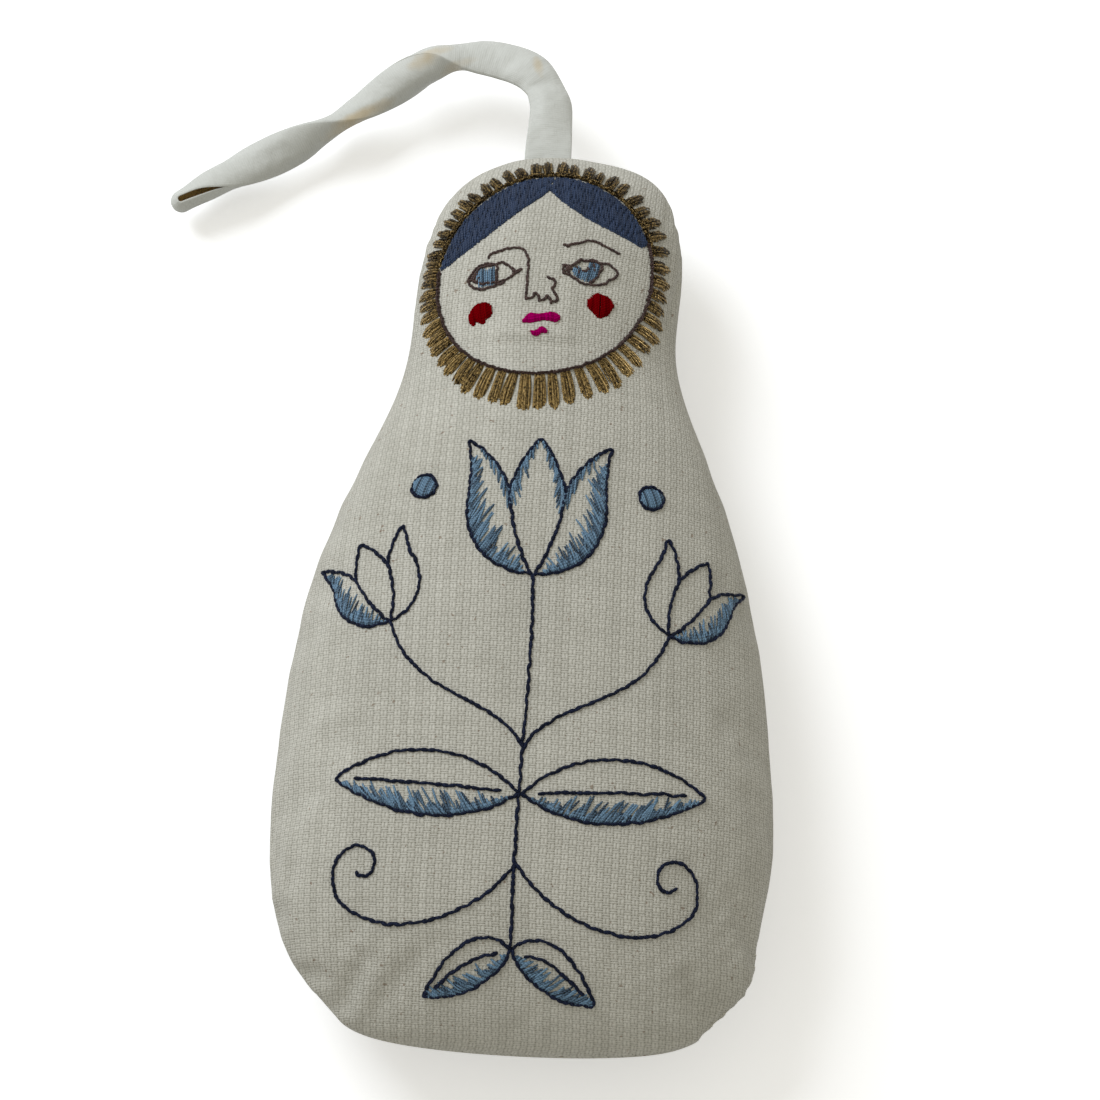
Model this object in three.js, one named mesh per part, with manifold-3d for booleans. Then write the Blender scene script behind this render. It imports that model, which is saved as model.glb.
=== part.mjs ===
// A stuffed canvas doll ornament in the outline of a nesting doll, lying on its back, in millimetres.
// +X is the viewer's right, +Y runs from the base to the head, and +Z points out of the embroidered front.
// Two canvas panels meet in a seam round the edge, over a filling, and a doubled ribbon hangs from the
// top seam.
import * as THREE from "three";
import { mergeVertices } from "three/addons/utils/BufferGeometryUtils.js";
import Module from "manifold-3d";

const wasm = await Module();
wasm.setup();

// Outline stations from the base to the top of the head: [y, left edge x, right edge x, half thickness].
const STATIONS = [
  [-81, 0, 0, 0],
  [-79.5, -22.6, 24.5, 3.8],
  [-75, -31, 32.6, 7.6],
  [-69, -36.5, 38, 10.6],
  [-58.8, -41.2, 41.1, 13.6],
  [-44.5, -43, 43, 15.5],
  [-30.4, -42.8, 42.2, 16],
  [-14.2, -41.5, 40.3, 16],
  [2, -38.6, 36.9, 15.5],
  [14.2, -34.8, 33.2, 14.8],
  [24.3, -30.7, 29.3, 13.6],
  [33.4, -27.1, 25.4, 12.2],
  [42.5, -25.2, 22.8, 11.6],
  [52.6, -24.8, 22.9, 11.4],
  [62.8, -23.5, 23.1, 10.8],
  [69.9, -21, 21.6, 9.2],
  [75.5, -16.8, 18.8, 6.8],
  [79.5, -10, 12.5, 3.4],
  [81, 0, 0, 0],
];
const SECTION_POWER = 2.2; // 2 is an ellipse, and more is fuller
const EDGE_POWER = 0.52; // how steeply the cloth meets the seam
const ROWS = 28; // sections from the base to the top
const COLUMNS = 12; // facets from side to side
const THICKEST = Math.max(...STATIONS.map((s) => s[3]));
const BASE_Y = STATIONS[0][0];
const TOP_Y = STATIONS.at(-1)[0];

// Cloth, thread and ribbon.
const GAP = 0.3; // between touching pieces
const CANVAS = 0.6;
const BACKING = 0.25;
const SEAM_ALLOWANCE = 4.5;
const SEAM_LINE = 2.2; // from the edge to the sewing line
const SEAM_THREAD = 0.4;
const LIP = 1; // the crease at the edge, where the panels touch
const REST_CUT = 0.5; // how deep the back is pressed flat on the surface
const EMBROIDERY_WIDTH = 0.6;
const EMBROIDERY_HEIGHT = 0.45;
const FACE_THREAD_WIDTH = 0.4;
const FACE_THREAD_HEIGHT = 0.35;
const RIBBON_WIDTH = 8;
const RIBBON_PLY = 0.4;
const NECK_Y = 41;

// The seam plane, and the heights above and below it that the layers keep.
const SEAM_Z = GAP / 2 + THICKEST - REST_CUT;
const LIP_Z = GAP / 2;
const FLANGE_Z = SEAM_THREAD / 2 + GAP;
const SLOT_Z = RIBBON_PLY + GAP;
const FLANGE_TOP_Z = Math.max(SLOT_Z, FLANGE_Z) + CANVAS;
const FILLING_Z = FLANGE_TOP_Z + GAP;
const EDGE_WALL = 1.15 * CANVAS; // the panel's wall where it turns down to the seam
const SLOT_TAPER = 6; // over which the panels close again beside the ribbon
const FULL_DEPTH_AT = 5; // half thickness from which the inner layers lie at their full depth
const FILLING_INSET = 1.8; // from the outline to the filling's edge

const MATERIALS = {
  canvas: { color: 0xc9c3b3, roughness: 0.95 },
  filling: { color: 0xf1efe8, roughness: 1 },
  backing: { color: 0xe9e9e6, roughness: 0.9 },
  sewing: { color: 0xd9d4c4, roughness: 0.8 },
  ribbon: { color: 0xe2e4db, roughness: 0.6 },
  hair: { color: 0x283246, roughness: 0.6 },
  outline: { color: 0x262339, roughness: 0.6 },
  blue: { color: 0x4f6d92, roughness: 0.6 },
  brown: { color: 0x3c2d2d, roughness: 0.6 },
  gold: { color: 0x7a6230, roughness: 0.45, metalness: 0.5 },
  red: { color: 0x9a0f1e, roughness: 0.6 },
  pink: { color: 0xb4126a, roughness: 0.6 },
};
const doll = new THREE.Group();

// Adds a named mesh of one of the materials above.
function piece(name, material, geometry) {
  const mesh = new THREE.Mesh(geometry, new THREE.MeshStandardMaterial(MATERIALS[material]));
  mesh.name = name;
  doll.add(mesh);
}

// A natural cubic spline through (xs, ys).
function spline(xs, ys) {
  const n = xs.length;
  const bend = new Array(n).fill(0);
  const upper = new Array(n).fill(0);
  for (let i = 1; i < n - 1; i++) {
    const share = (xs[i] - xs[i - 1]) / (xs[i + 1] - xs[i - 1]);
    const pivot = share * upper[i - 1] + 2;
    const slopes = (ys[i + 1] - ys[i]) / (xs[i + 1] - xs[i]) - (ys[i] - ys[i - 1]) / (xs[i] - xs[i - 1]);
    upper[i] = (share - 1) / pivot;
    bend[i] = ((6 * slopes) / (xs[i + 1] - xs[i - 1]) - share * bend[i - 1]) / pivot;
  }
  for (let i = n - 2; i > 0; i--) bend[i] += upper[i] * bend[i + 1];
  return (x) => {
    let i = 1;
    while (i < n - 1 && x > xs[i]) i++;
    const step = xs[i] - xs[i - 1];
    const a = (xs[i] - x) / step;
    const b = 1 - a;
    const curve = ((a ** 3 - a) * bend[i - 1] + (b ** 3 - b) * bend[i]) * (step ** 2 / 6);
    return a * ys[i - 1] + b * ys[i] + curve;
  };
}

// Sections are counted by an angle, 0 at the base and pi at the top, so that the round ends stay smooth.
const angleOf = (y) => Math.acos(THREE.MathUtils.clamp(1 - (2 * (y - BASE_Y)) / (TOP_Y - BASE_Y), -1, 1));
const yOf = (angle) => BASE_Y + ((TOP_Y - BASE_Y) * (1 - Math.cos(angle))) / 2;
const stationAngles = STATIONS.map((s) => angleOf(s[0]));
const stationSpline = (column) => spline(stationAngles, STATIONS.map((s) => s[column]));
const [leftOf, rightOf, halfThicknessOf] = [1, 2, 3].map(stationSpline);
const fullness = (u) => (1 - Math.min(1, Math.abs(u)) ** SECTION_POWER) ** EDGE_POWER;

// Height of the front's outer face at (x, y), and the point on it with its normal.
function frontHeight(x, y) {
  const angle = angleOf(y);
  const middle = (leftOf(angle) + rightOf(angle)) / 2;
  const half = Math.max((rightOf(angle) - leftOf(angle)) / 2, 1e-6);
  return SEAM_Z + LIP_Z + halfThicknessOf(angle) * fullness((x - middle) / half);
}
function onFront([x, y]) {
  const d = 0.2;
  const normal = new THREE.Vector3(
    frontHeight(x - d, y) - frontHeight(x + d, y),
    frontHeight(x, y - d) - frontHeight(x, y + d),
    2 * d,
  ).normalize();
  return { point: new THREE.Vector3(x, y, frontHeight(x, y)), normal };
}

// The outline moved inwards by inset: anticlockwise from the base, up the right side and down the left.
const edge = [];
for (let j = 0; j <= ROWS; j++) edge.push([rightOf, (Math.PI * j) / ROWS]);
for (let j = ROWS - 1; j > 0; j--) edge.push([leftOf, (Math.PI * j) / ROWS]);
const edgePoint = ([side, angle]) => new THREE.Vector2(side(angle), yOf(angle));
function insetPoint([side, angle], inset) {
  const d = 0.01;
  const turn = side === rightOf ? 1 : -1;
  const before = edgePoint([side, Math.max(0, angle - d)]);
  const after = edgePoint([side, Math.min(Math.PI, angle + d)]);
  const along = after.sub(before).normalize().multiplyScalar(turn);
  if (angle === 0 || angle === Math.PI) along.set(angle === 0 ? 1 : -1, 0);
  return edgePoint([side, angle]).add(new THREE.Vector2(-along.y, along.x).multiplyScalar(inset));
}

// A ring of points at that inset and at height z from the seam plane, opened beside the ribbon.
const RIBBON_X = -2.4;
const besideRibbon = (p) => p.y > NECK_Y && Math.abs(p.x - RIBBON_X) < RIBBON_WIDTH / 2 + SLOT_TAPER;
const ring = (inset, z, slot = z) =>
  edge.map((e) => {
    const p = insetPoint(e, inset);
    const high = besideRibbon(p) ? Math.sign(z) * Math.max(Math.abs(z), Math.abs(slot)) : z;
    return new THREE.Vector3(p.x, p.y, SEAM_Z + high);
  });

// A bulging face over that ring, as rows of points. It lies depth below the outer face at its crown, and
// pressed flat at the height floor. side is 1 for the front and -1 for the back.
function bulge({ side, inset, base, depth, floor = 0, slot = base }) {
  const border = ring(inset, side * base, slot);
  const rows = [];
  for (let j = 0; j <= ROWS; j++) {
    const right = border[j];
    const left = border[(2 * ROWS - j) % (2 * ROWS)];
    const half = halfThicknessOf((Math.PI * j) / ROWS);
    const sunk = base - LIP_Z + depth;
    const high = half - sunk * Math.min(1, half / FULL_DEPTH_AT);
    const row = [];
    for (let i = 0; i <= COLUMNS; i++) {
      const u = -Math.cos((Math.PI * i) / COLUMNS);
      const p = left.clone().lerp(right, (1 + u) / 2);
      p.z = Math.max(p.z + side * high * fullness(u), floor);
      row.push(p);
    }
    rows.push(row);
  }
  return { border, rows };
}

// Collects triangles and makes one closed geometry of them.
class Skin {
  constructor() {
    this.corners = [];
  }
  triangle(a, b, c) {
    if (a.equals(b) || b.equals(c) || c.equals(a)) return;
    this.corners.push(...a, ...b, ...c);
  }
  quad(a, b, c, d) {
    this.triangle(a, b, c);
    this.triangle(a, c, d);
  }
  // Rows of points, each from left to right. The face points up, or down if turned.
  sheet(rows, turned) {
    for (let j = 1; j < rows.length; j++)
      for (let i = 1; i < rows[j].length; i++) {
        const q = [rows[j - 1][i - 1], rows[j - 1][i], rows[j][i], rows[j][i - 1]];
        this.quad(...(turned ? q.reverse() : q));
      }
  }
  // The strip from an outer ring to the next one.
  band(a, b, turned) {
    for (let k = 0; k < a.length; k++) {
      const next = (k + 1) % a.length;
      const q = [a[k], a[next], b[next], b[k]];
      this.quad(...(turned ? q.reverse() : q));
    }
  }
  geometry() {
    const g = new THREE.BufferGeometry();
    g.setAttribute("position", new THREE.Float32BufferAttribute(this.corners, 3));
    return mergeVertices(g, 1e-4);
  }
}

// Joins and cuts of closed geometries.
function solidOf(geometry) {
  const g = geometry.clone();
  g.deleteAttribute("normal");
  g.deleteAttribute("uv");
  const merged = mergeVertices(g, 1e-4);
  const vertProperties = merged.attributes.position.array;
  const triVerts = new Uint32Array(merged.index.array);
  return new wasm.Manifold(new wasm.Mesh({ numProp: 3, vertProperties, triVerts }));
}
function geometryOf(solid) {
  const { numProp, vertProperties, triVerts } = solid.getMesh();
  const corners = new THREE.InterleavedBuffer(vertProperties, numProp);
  const g = new THREE.BufferGeometry();
  g.setAttribute("position", new THREE.InterleavedBufferAttribute(corners, 3, 0));
  g.setIndex([...triVerts]);
  return g;
}
const joined = (geometries) => geometryOf(geometries.map(solidOf).reduce((a, b) => a.add(b)));

// One canvas panel: the bulging outer face, the crease, the seam allowance turned in, and the inner face.
function panel(side) {
  const outer = bulge({ side, inset: 0, base: LIP_Z, depth: 0, slot: SLOT_Z });
  const inner = bulge({ side, inset: EDGE_WALL, base: FLANGE_TOP_Z, depth: CANVAS, floor: CANVAS });
  const slopeEnd = LIP + FLANGE_Z - LIP_Z;
  const turned = side > 0;
  const skin = new Skin();
  skin.sheet(outer.rows, !turned);
  const rings = [
    outer.border,
    ring(LIP, side * LIP_Z, SLOT_Z),
    ring(slopeEnd, side * FLANGE_Z, SLOT_Z),
    ring(SEAM_ALLOWANCE, side * FLANGE_Z, SLOT_Z),
    ring(SEAM_ALLOWANCE, side * FLANGE_TOP_Z),
    inner.border,
  ];
  for (let k = 1; k < rings.length; k++) skin.band(rings[k - 1], rings[k], turned);
  skin.sheet(inner.rows, turned);
  return skin.geometry();
}
piece("front_panel", "canvas", panel(1));
piece("back_panel", "canvas", panel(-1));

// The backing sheet lies between the front panel and the filling, and stops short of the seam all round.
const backingTop = { side: 1, inset: EDGE_WALL + GAP, base: FILLING_Z, depth: CANVAS + GAP };
const backingBottom = { ...backingTop, inset: backingTop.inset + BACKING, depth: backingTop.depth + BACKING };
const BACKING_ROWS = [5, ROWS - 4];
const BACKING_COLUMNS = [3, COLUMNS - 2];
const middleOf = (rows) => rows.slice(...BACKING_ROWS).map((row) => row.slice(...BACKING_COLUMNS));
function backing() {
  const top = middleOf(bulge(backingTop).rows);
  const bottom = middleOf(bulge(backingBottom).rows);
  const borderOf = (rows) => [
    ...rows[0],
    ...rows.slice(1).map((row) => row.at(-1)),
    ...rows.at(-1).slice(0, -1).reverse(),
    ...rows.slice(1, -1).reverse().map((row) => row[0]),
  ];
  const skin = new Skin();
  skin.sheet(top);
  skin.sheet(bottom, true);
  skin.band(borderOf(top), borderOf(bottom), true);
  return skin.geometry();
}
piece("embroidery_backing", "backing", backing());

// The filling has a groove round its edge for the seam allowances, and is cut at the neck.
function filling() {
  const front = bulge({
    side: 1, inset: FILLING_INSET, base: FILLING_Z, depth: backingBottom.depth + GAP,
  });
  const back = bulge({
    side: -1, inset: FILLING_INSET, base: FILLING_Z, depth: CANVAS + GAP, floor: CANVAS + GAP,
  });
  const groove = SEAM_ALLOWANCE + GAP;
  const rings = [front.border, ring(groove, FILLING_Z), ring(groove, -FILLING_Z), back.border];
  const skin = new Skin();
  skin.sheet(front.rows);
  for (let k = 1; k < rings.length; k++) skin.band(rings[k - 1], rings[k], true);
  skin.sheet(back.rows, true);
  return solidOf(skin.geometry());
}
function halfSpace(fromY, toY) {
  const wide = 4 * THICKEST + Math.max(...STATIONS.map((s) => s[2] - s[1]));
  const box = new THREE.BoxGeometry(wide, toY - fromY, wide);
  return solidOf(box.translate(0, (fromY + toY) / 2, 0));
}
const whole = filling();
piece("body_filling", "filling", geometryOf(whole.intersect(halfSpace(BASE_Y, NECK_Y - GAP / 2))));
piece("head_filling", "filling", geometryOf(whole.intersect(halfSpace(NECK_Y + GAP / 2, TOP_Y))));

// A strip of rectangular section along frames of { point, normal }: height from lift above the point.
function strip(frames, width, height, lift = 0) {
  const rings = frames.map(({ point, normal, across }, k) => {
    const before = frames[Math.max(0, k - 1)].point;
    const after = frames[Math.min(frames.length - 1, k + 1)].point;
    const side = across ?? after.clone().sub(before).cross(normal).normalize();
    const corner = (s, h) => point.clone().addScaledVector(side, (s * width) / 2).addScaledVector(normal, h);
    return [corner(-1, lift), corner(1, lift), corner(1, lift + height), corner(-1, lift + height)];
  });
  const skin = new Skin();
  for (let k = 1; k < rings.length; k++) skin.band(rings[k - 1], rings[k], true);
  skin.quad(...rings[0]);
  skin.quad(...rings.at(-1).reverse());
  return skin.geometry();
}

// The sewing thread runs along the seam between the allowances, from the ribbon to the hand-sewn closing.
const CLOSING_FROM_Y = -79.2;
const CLOSING_TO_Y = -61;
const CLOSING_STITCHES = 9;
const CLOSING_DEPTH = 1.3; // how far the closing stitches reach to each side of the sewing line
const flat = new THREE.Vector3(0, 0, 1);
function seamFrames(side, fromAngle, toAngle, steps, insetAt = () => SEAM_LINE) {
  const frames = [];
  for (let k = 0; k <= steps; k++) {
    const p = insetPoint([side, fromAngle + ((toAngle - fromAngle) * k) / steps], insetAt(k));
    frames.push({ point: new THREE.Vector3(p.x, p.y, SEAM_Z), normal: flat });
  }
  return frames;
}
// The angle at which that side's sewing line stands clear of the ribbon's edge.
function angleBesideRibbon(side) {
  let angle = Math.PI;
  const clear = RIBBON_WIDTH / 2 + GAP + SEAM_THREAD;
  while (Math.abs(insetPoint([side, angle], SEAM_LINE).x - RIBBON_X) < clear) angle -= 0.005;
  return angle;
}
const seam = (frames) => strip(frames, SEAM_THREAD, SEAM_THREAD, -SEAM_THREAD / 2);
const closingFrom = angleOf(CLOSING_FROM_Y);
const closingTo = angleOf(CLOSING_TO_Y);
const pastClosing = 0.02;
piece("seam_thread_right", "sewing", seam(
  seamFrames(rightOf, closingTo + pastClosing, angleBesideRibbon(rightOf), 26)));
piece("seam_thread_left", "sewing", seam([
  ...seamFrames(leftOf, angleBesideRibbon(leftOf), 0, 30),
  ...seamFrames(rightOf, 0, closingFrom - pastClosing, 3).slice(1),
]));
const zigzag = (k) => SEAM_LINE + (k % 2 ? 1 : -1) * (CLOSING_DEPTH / 2);
const closing = seamFrames(rightOf, closingFrom, closingTo, 2 * CLOSING_STITCHES, zigzag);
piece("closing_thread", "sewing", seam(closing));

// The ribbon: its two tails lie between the seam allowances, and the loop starts just outside the seam.
const topAt = (x) => {
  const side = x < 0 ? leftOf : rightOf;
  let angle = Math.PI;
  while (Math.abs(side(angle)) < Math.abs(x)) angle -= 0.002;
  return yOf(angle);
};
const SEAM_TOP_Y = topAt(RIBBON_X);
const TAILS_FROM_Y = SEAM_TOP_Y - SEAM_ALLOWANCE + GAP;
const TAILS_TO_Y = SEAM_TOP_Y;
const tails = [TAILS_FROM_Y, TAILS_TO_Y].map((y) => ({
  point: new THREE.Vector3(RIBBON_X, y, SEAM_Z), normal: flat,
}));
piece("ribbon_ends", "ribbon", strip(tails, RIBBON_WIDTH, 2 * RIBBON_PLY, -RIBBON_PLY));

// The free loop: centre line of the doubled ribbon as [x, y, z, roll in degrees], chosen by hand.
const LOOP_ROUTE = [
  [-2.4, 81.2, 15.6, 0],
  [-2.5, 88, 15.3, 4],
  [-3.2, 94, 14.2, 14],
  [-6.2, 99.6, 12.8, 32],
  [-12, 102.4, 11.4, 58],
  [-19, 103.4, 10, 90],
  [-26, 101.8, 8.6, 140],
  [-34, 97.2, 7.2, 185],
  [-44.3, 89.6, 6.2, 265],
  [-53.9, 84, 5.4, 320],
  [-64, 77.4, 5, 390],
  [-70.1, 73.8, 4.9, 412],
];
const PLY_GAP = 3; // between the two plies' middles along the free loop
const PLY_GAP_AT_SEAM = RIBBON_PLY + GAP;
const OPENING_LENGTH = 14; // over which the plies part
const LOOP_STEPS = 26;
function ribbonLoop() {
  const route = new THREE.CatmullRomCurve3(LOOP_ROUTE.map((p) => new THREE.Vector3(p[0], p[1], p[2])));
  const rolls = spline(LOOP_ROUTE.map((_, k) => k), LOOP_ROUTE.map((p) => p[3]));
  const up = new THREE.Vector3(0, 0, 1);
  const length = route.getLength();
  const out = [];
  const back = [];
  let last;
  for (let k = 0; k <= LOOP_STEPS; k++) {
    const t = route.getUtoTmapping(k / LOOP_STEPS);
    const along = route.getTangent(t);
    const level = along.clone().cross(up).normalize();
    const roll = THREE.MathUtils.degToRad(rolls(t * (LOOP_ROUTE.length - 1)));
    const across = level.applyAxisAngle(along, -roll);
    const normal = across.clone().cross(along);
    const open = THREE.MathUtils.smoothstep((k / LOOP_STEPS) * length, 0, OPENING_LENGTH);
    const half = THREE.MathUtils.lerp(PLY_GAP_AT_SEAM, PLY_GAP, open) / 2;
    const centre = route.getPoint(t);
    out.push({ point: centre.clone().addScaledVector(normal, half), normal, across });
    const under = centre.clone().addScaledVector(normal, -half);
    back.unshift({ point: under, normal: normal.clone().negate(), across });
    last = { centre, along, normal, across };
  }
  const turn = [];
  const TURN_STEPS = 5;
  for (let k = 1; k < TURN_STEPS; k++) {
    const a = (Math.PI * k) / TURN_STEPS;
    const normal = last.normal.clone().multiplyScalar(Math.cos(a)).addScaledVector(last.along, Math.sin(a));
    const point = last.centre.clone().addScaledVector(normal, PLY_GAP / 2);
    turn.push({ point, normal, across: last.across });
  }
  const frames = [...out, ...turn, ...back];
  const geometry = strip(frames, RIBBON_WIDTH, RIBBON_PLY, -RIBBON_PLY / 2);
  geometry.computeBoundingBox();
  const lowest = geometry.boundingBox.min.z;
  console.log("ribbon loop: one leg " + length.toFixed(1) + " mm, lowest point " + lowest.toFixed(2) + " mm");
  return geometry;
}
piece("hanging_ribbon", "ribbon", ribbonLoop());

// Embroidery. A run is a thread laid on the front along a drawn line, given as a start point and cubic
// curves [control, control, end]. Lines are sampled every RUN_STEP.
const RUN_STEP = 2.4;
function drawn(start, ...curves) {
  const line = [];
  let from = new THREE.Vector2(...start);
  line.push(from);
  for (const [ax, ay, bx, by, x, y] of curves) {
    const to = new THREE.Vector2(x, y);
    const curve = new THREE.CubicBezierCurve(from, new THREE.Vector2(ax, ay), new THREE.Vector2(bx, by), to);
    const steps = Math.max(2, Math.round(curve.getLength() / RUN_STEP));
    line.push(...curve.getPoints(steps).slice(1));
    from = to;
  }
  return line.map((p) => [p.x, p.y]);
}
// The same for a drawing of unit height, which needs finer steps.
const drawnShare = (start, ...curves) => {
  const big = 25;
  const scaled = (values) => values.map((v) => v * big);
  return drawn(scaled(start), ...curves.map(scaled)).map(([x, y]) => [x / big, y / big]);
};
const run = (line, width = EMBROIDERY_WIDTH, height = EMBROIDERY_HEIGHT) =>
  strip(line.map(onFront), width, height, GAP);

// A closed line stops one gap short of its own start.
function almostClosed(line, width = EMBROIDERY_WIDTH) {
  const [x0, y0] = line[0];
  const [x1, y1] = line.at(-2);
  const reach = Math.hypot(x0 - x1, y0 - y1);
  const back = Math.min(0.9, (width + GAP) / reach);
  return [...line.slice(0, -1), [x0 + (x1 - x0) * back, y0 + (y1 - y0) * back]];
}

// A patch of fill stitches of that shape, laid on the front.
function laidShape(shape, height = EMBROIDERY_HEIGHT) {
  const g = new THREE.ExtrudeGeometry(shape, { depth: height, bevelEnabled: false });
  const position = g.attributes.position;
  for (let k = 0; k < position.count; k++) {
    const { point, normal } = onFront([position.getX(k), position.getY(k)]);
    position.setXYZ(k, ...point.addScaledVector(normal, GAP + position.getZ(k)));
  }
  g.deleteAttribute("normal");
  g.deleteAttribute("uv");
  return mergeVertices(g, 1e-4);
}
// A wide patch follows the cloth between two edges of as many points, with ACROSS facets from edge to edge.
const ACROSS = 4;
function filledBetween(first, second) {
  const area = THREE.ShapeUtils.area([...first, ...second.toReversed()].map((p) => new THREE.Vector2(...p)));
  const [low, high] = [GAP, GAP + EMBROIDERY_HEIGHT].map((lift) =>
    first.map((p, k) =>
      Array.from({ length: ACROSS + 1 }, (_, i) => {
        const at = p.map((v, axis) => v + ((second[k][axis] - v) * i) / ACROSS);
        const { point, normal } = onFront(at);
        return point.addScaledVector(normal, lift);
      }),
    ),
  );
  const border = (rows) => [
    ...rows[0],
    ...rows.slice(1, -1).map((row) => row.at(-1)),
    ...rows.at(-1).toReversed(),
    ...rows.slice(1, -1).reverse().map((row) => row[0]),
  ];
  const skin = new Skin();
  skin.sheet(high, area > 0);
  skin.sheet(low, area < 0);
  skin.band(border(high), border(low), area < 0);
  return skin.geometry();
}
const shapeOf = (line) => new THREE.Shape(line.map((p) => new THREE.Vector2(...p)));
const patch = (line) => laidShape(shapeOf(line));
const oval = (x, y, rx, ry, count = 12) =>
  Array.from({ length: count }, (_, k) => {
    const a = (2 * Math.PI * k) / count;
    return [x + rx * Math.cos(a), y + ry * Math.sin(a)];
  });

// The face is an oval that leans to the right. Angles on it are in degrees, anticlockwise from the
// viewer's right.
const FACE = { x: -1.5, y: 54.2, rx: 18.3, ry: 20.2, lean: -30 };
function onFace(degrees, outside = 0) {
  const a = THREE.MathUtils.degToRad(degrees - FACE.lean);
  const lean = THREE.MathUtils.degToRad(FACE.lean);
  return new THREE.Vector2((FACE.rx + outside) * Math.cos(a), (FACE.ry + outside) * Math.sin(a))
    .rotateAround(new THREE.Vector2(), lean)
    .add(new THREE.Vector2(FACE.x, FACE.y))
    .toArray();
}
const HAIR_LEFT_END = 174;
const HAIR_RIGHT_END = 22;
const PARTING_GAP = 0.25;
const arc = (from, to, steps, outside) =>
  Array.from({ length: steps + 1 }, (_, k) => onFace(from + ((to - from) * k) / steps, outside));
const pastHair = 3;
const thin = (line) => run(line, FACE_THREAD_WIDTH, FACE_THREAD_HEIGHT);
piece("face_outline", "brown", thin(arc(HAIR_LEFT_END + pastHair, 360 + HAIR_RIGHT_END - pastHair, 34, 0)));

// Each half of the hair fills the oval down to a curved edge from the parting to the temple.
const PARTING = [FACE.x, FACE.y + 17.2];
const HAIR_INSIDE = 0.3; // between the hair and the fringe's inner edge
const HAIR_STEPS = 12;
function hair(fromDegrees, toDegrees, edgeLine) {
  const curve = new THREE.SplineCurve(edgeLine.map((p) => new THREE.Vector2(...p)));
  const inner = curve.getSpacedPoints(HAIR_STEPS);
  return filledBetween(arc(fromDegrees, toDegrees, HAIR_STEPS, -HAIR_INSIDE), inner.map((p) => [p.x, p.y]));
}
const halfPart = PARTING_GAP / 2 + EMBROIDERY_WIDTH / 4;
const degreesBesidePart = THREE.MathUtils.radToDeg(halfPart / FACE.rx);
const HAIR_LEFT_EDGE = [[-3.4, 69.2], [-7.8, 64.9], [-12.9, 60.6], [-18.3, 56.7]];
const HAIR_RIGHT_EDGE = [[1.2, 68.4], [5.6, 65.2], [10.6, 63], [15.2, 61.4]];
const fromParting = (side, line) => [[PARTING[0] + side * halfPart, PARTING[1]], ...line];
piece("hair_left", "hair", hair(90 + degreesBesidePart, HAIR_LEFT_END, fromParting(-1, HAIR_LEFT_EDGE)));
piece("hair_right", "hair", hair(90 - degreesBesidePart, HAIR_RIGHT_END, fromParting(1, HAIR_RIGHT_EDGE)));

// The gold fringe: a narrow band round the oval with teeth that are longer below the chin.
const FRINGE_INSIDE = 0.65; // from the face's line to the band
const FRINGE_BAND = 0.7;
const TEETH = 62;
const TOOTH_SHARE = 0.72; // of the pitch
const TOOTH = { side: 3.2, chin: 5.2, crown: 3.9 };
function toothLength(degrees) {
  const s = Math.sin(THREE.MathUtils.degToRad(degrees));
  return TOOTH.side + s * s * ((s < 0 ? TOOTH.chin : TOOTH.crown) - TOOTH.side);
}
function fringe() {
  const outer = [];
  const pitch = 360 / TEETH;
  for (let k = 0; k < TEETH; k++) {
    const start = k * pitch;
    const end = start + pitch * TOOTH_SHARE;
    const root = FRINGE_INSIDE + FRINGE_BAND;
    const tip = FRINGE_INSIDE + toothLength((start + end) / 2);
    outer.push(onFace(start, root), onFace(start, tip), onFace(end, tip), onFace(end, root));
  }
  const shape = new THREE.Shape(outer.map((p) => new THREE.Vector2(...p)));
  const onInner = (_, k) => new THREE.Vector2(...onFace(k * pitch, FRINGE_INSIDE));
  shape.holes.push(new THREE.Path(Array.from({ length: TEETH }, onInner).reverse()));
  return shape;
}
piece("gold_fringe", "gold", laidShape(fringe()));

// Brows, nose and eyes are single lines of thin thread. Places are read off the doll's face.
const LEFT_BROW_AND_NOSE = drawn([-11.8, 56.9],
  [-9.4, 58.2, -6.4, 59.2, -5, 57.2], [-4, 55.4, -4.6, 52, -4.4, 49.2], [-3.6, 49.4, -2.6, 49.2, -1.8, 48.5],
  [-1.2, 48.9, 0.4, 48.4, 1.1, 49.1], [0.5, 50.4, 0.3, 52, 0.3, 53.2]);
piece("left_brow_and_nose", "brown", thin(LEFT_BROW_AND_NOSE));
const RIGHT_BROW = drawn([1.6, 59.3], [4, 59.8, 5, 61.6, 8, 60.9], [9.6, 60.5, 10.8, 59.9, 11.8, 58.9]);
piece("right_brow", "brown", thin(RIGHT_BROW));
const LEFT_EYE = drawn([-14.9, 52.2],
  [-13.4, 55.4, -11.2, 56.6, -8.9, 55.8], [-7.6, 55.2, -6.6, 54.6, -6, 54.2],
  [-7.4, 52.2, -9.4, 50.7, -11.6, 50.6],
  [-13, 50.7, -14.2, 51.2, -14.9, 52.2]);
const RIGHT_EYE = drawn([1.7, 54.7], [3.2, 57, 5.6, 57.8, 8.4, 57.2], [9.8, 56.8, 10.8, 56, 11.2, 55],
  [9.6, 53.2, 7.6, 52.2, 5.6, 52.2], [3.8, 52.4, 2.4, 53.4, 1.7, 54.7]);
piece("left_eye_outline", "brown", thin(almostClosed(LEFT_EYE, FACE_THREAD_WIDTH)));
piece("right_eye_outline", "brown", thin(almostClosed(RIGHT_EYE, FACE_THREAD_WIDTH)));
piece("left_iris", "blue", patch(oval(-11, 53.4, 1.5, 1.6)));
piece("right_iris", "blue", patch(oval(5.9, 54.8, 1.4, 1.6)));
piece("left_cheek", "red", patch(oval(-12.4, 46.6, 2.1, 2.1)));
piece("right_cheek", "red", patch(oval(8.6, 49.1, 2.3, 2.2)));
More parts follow.
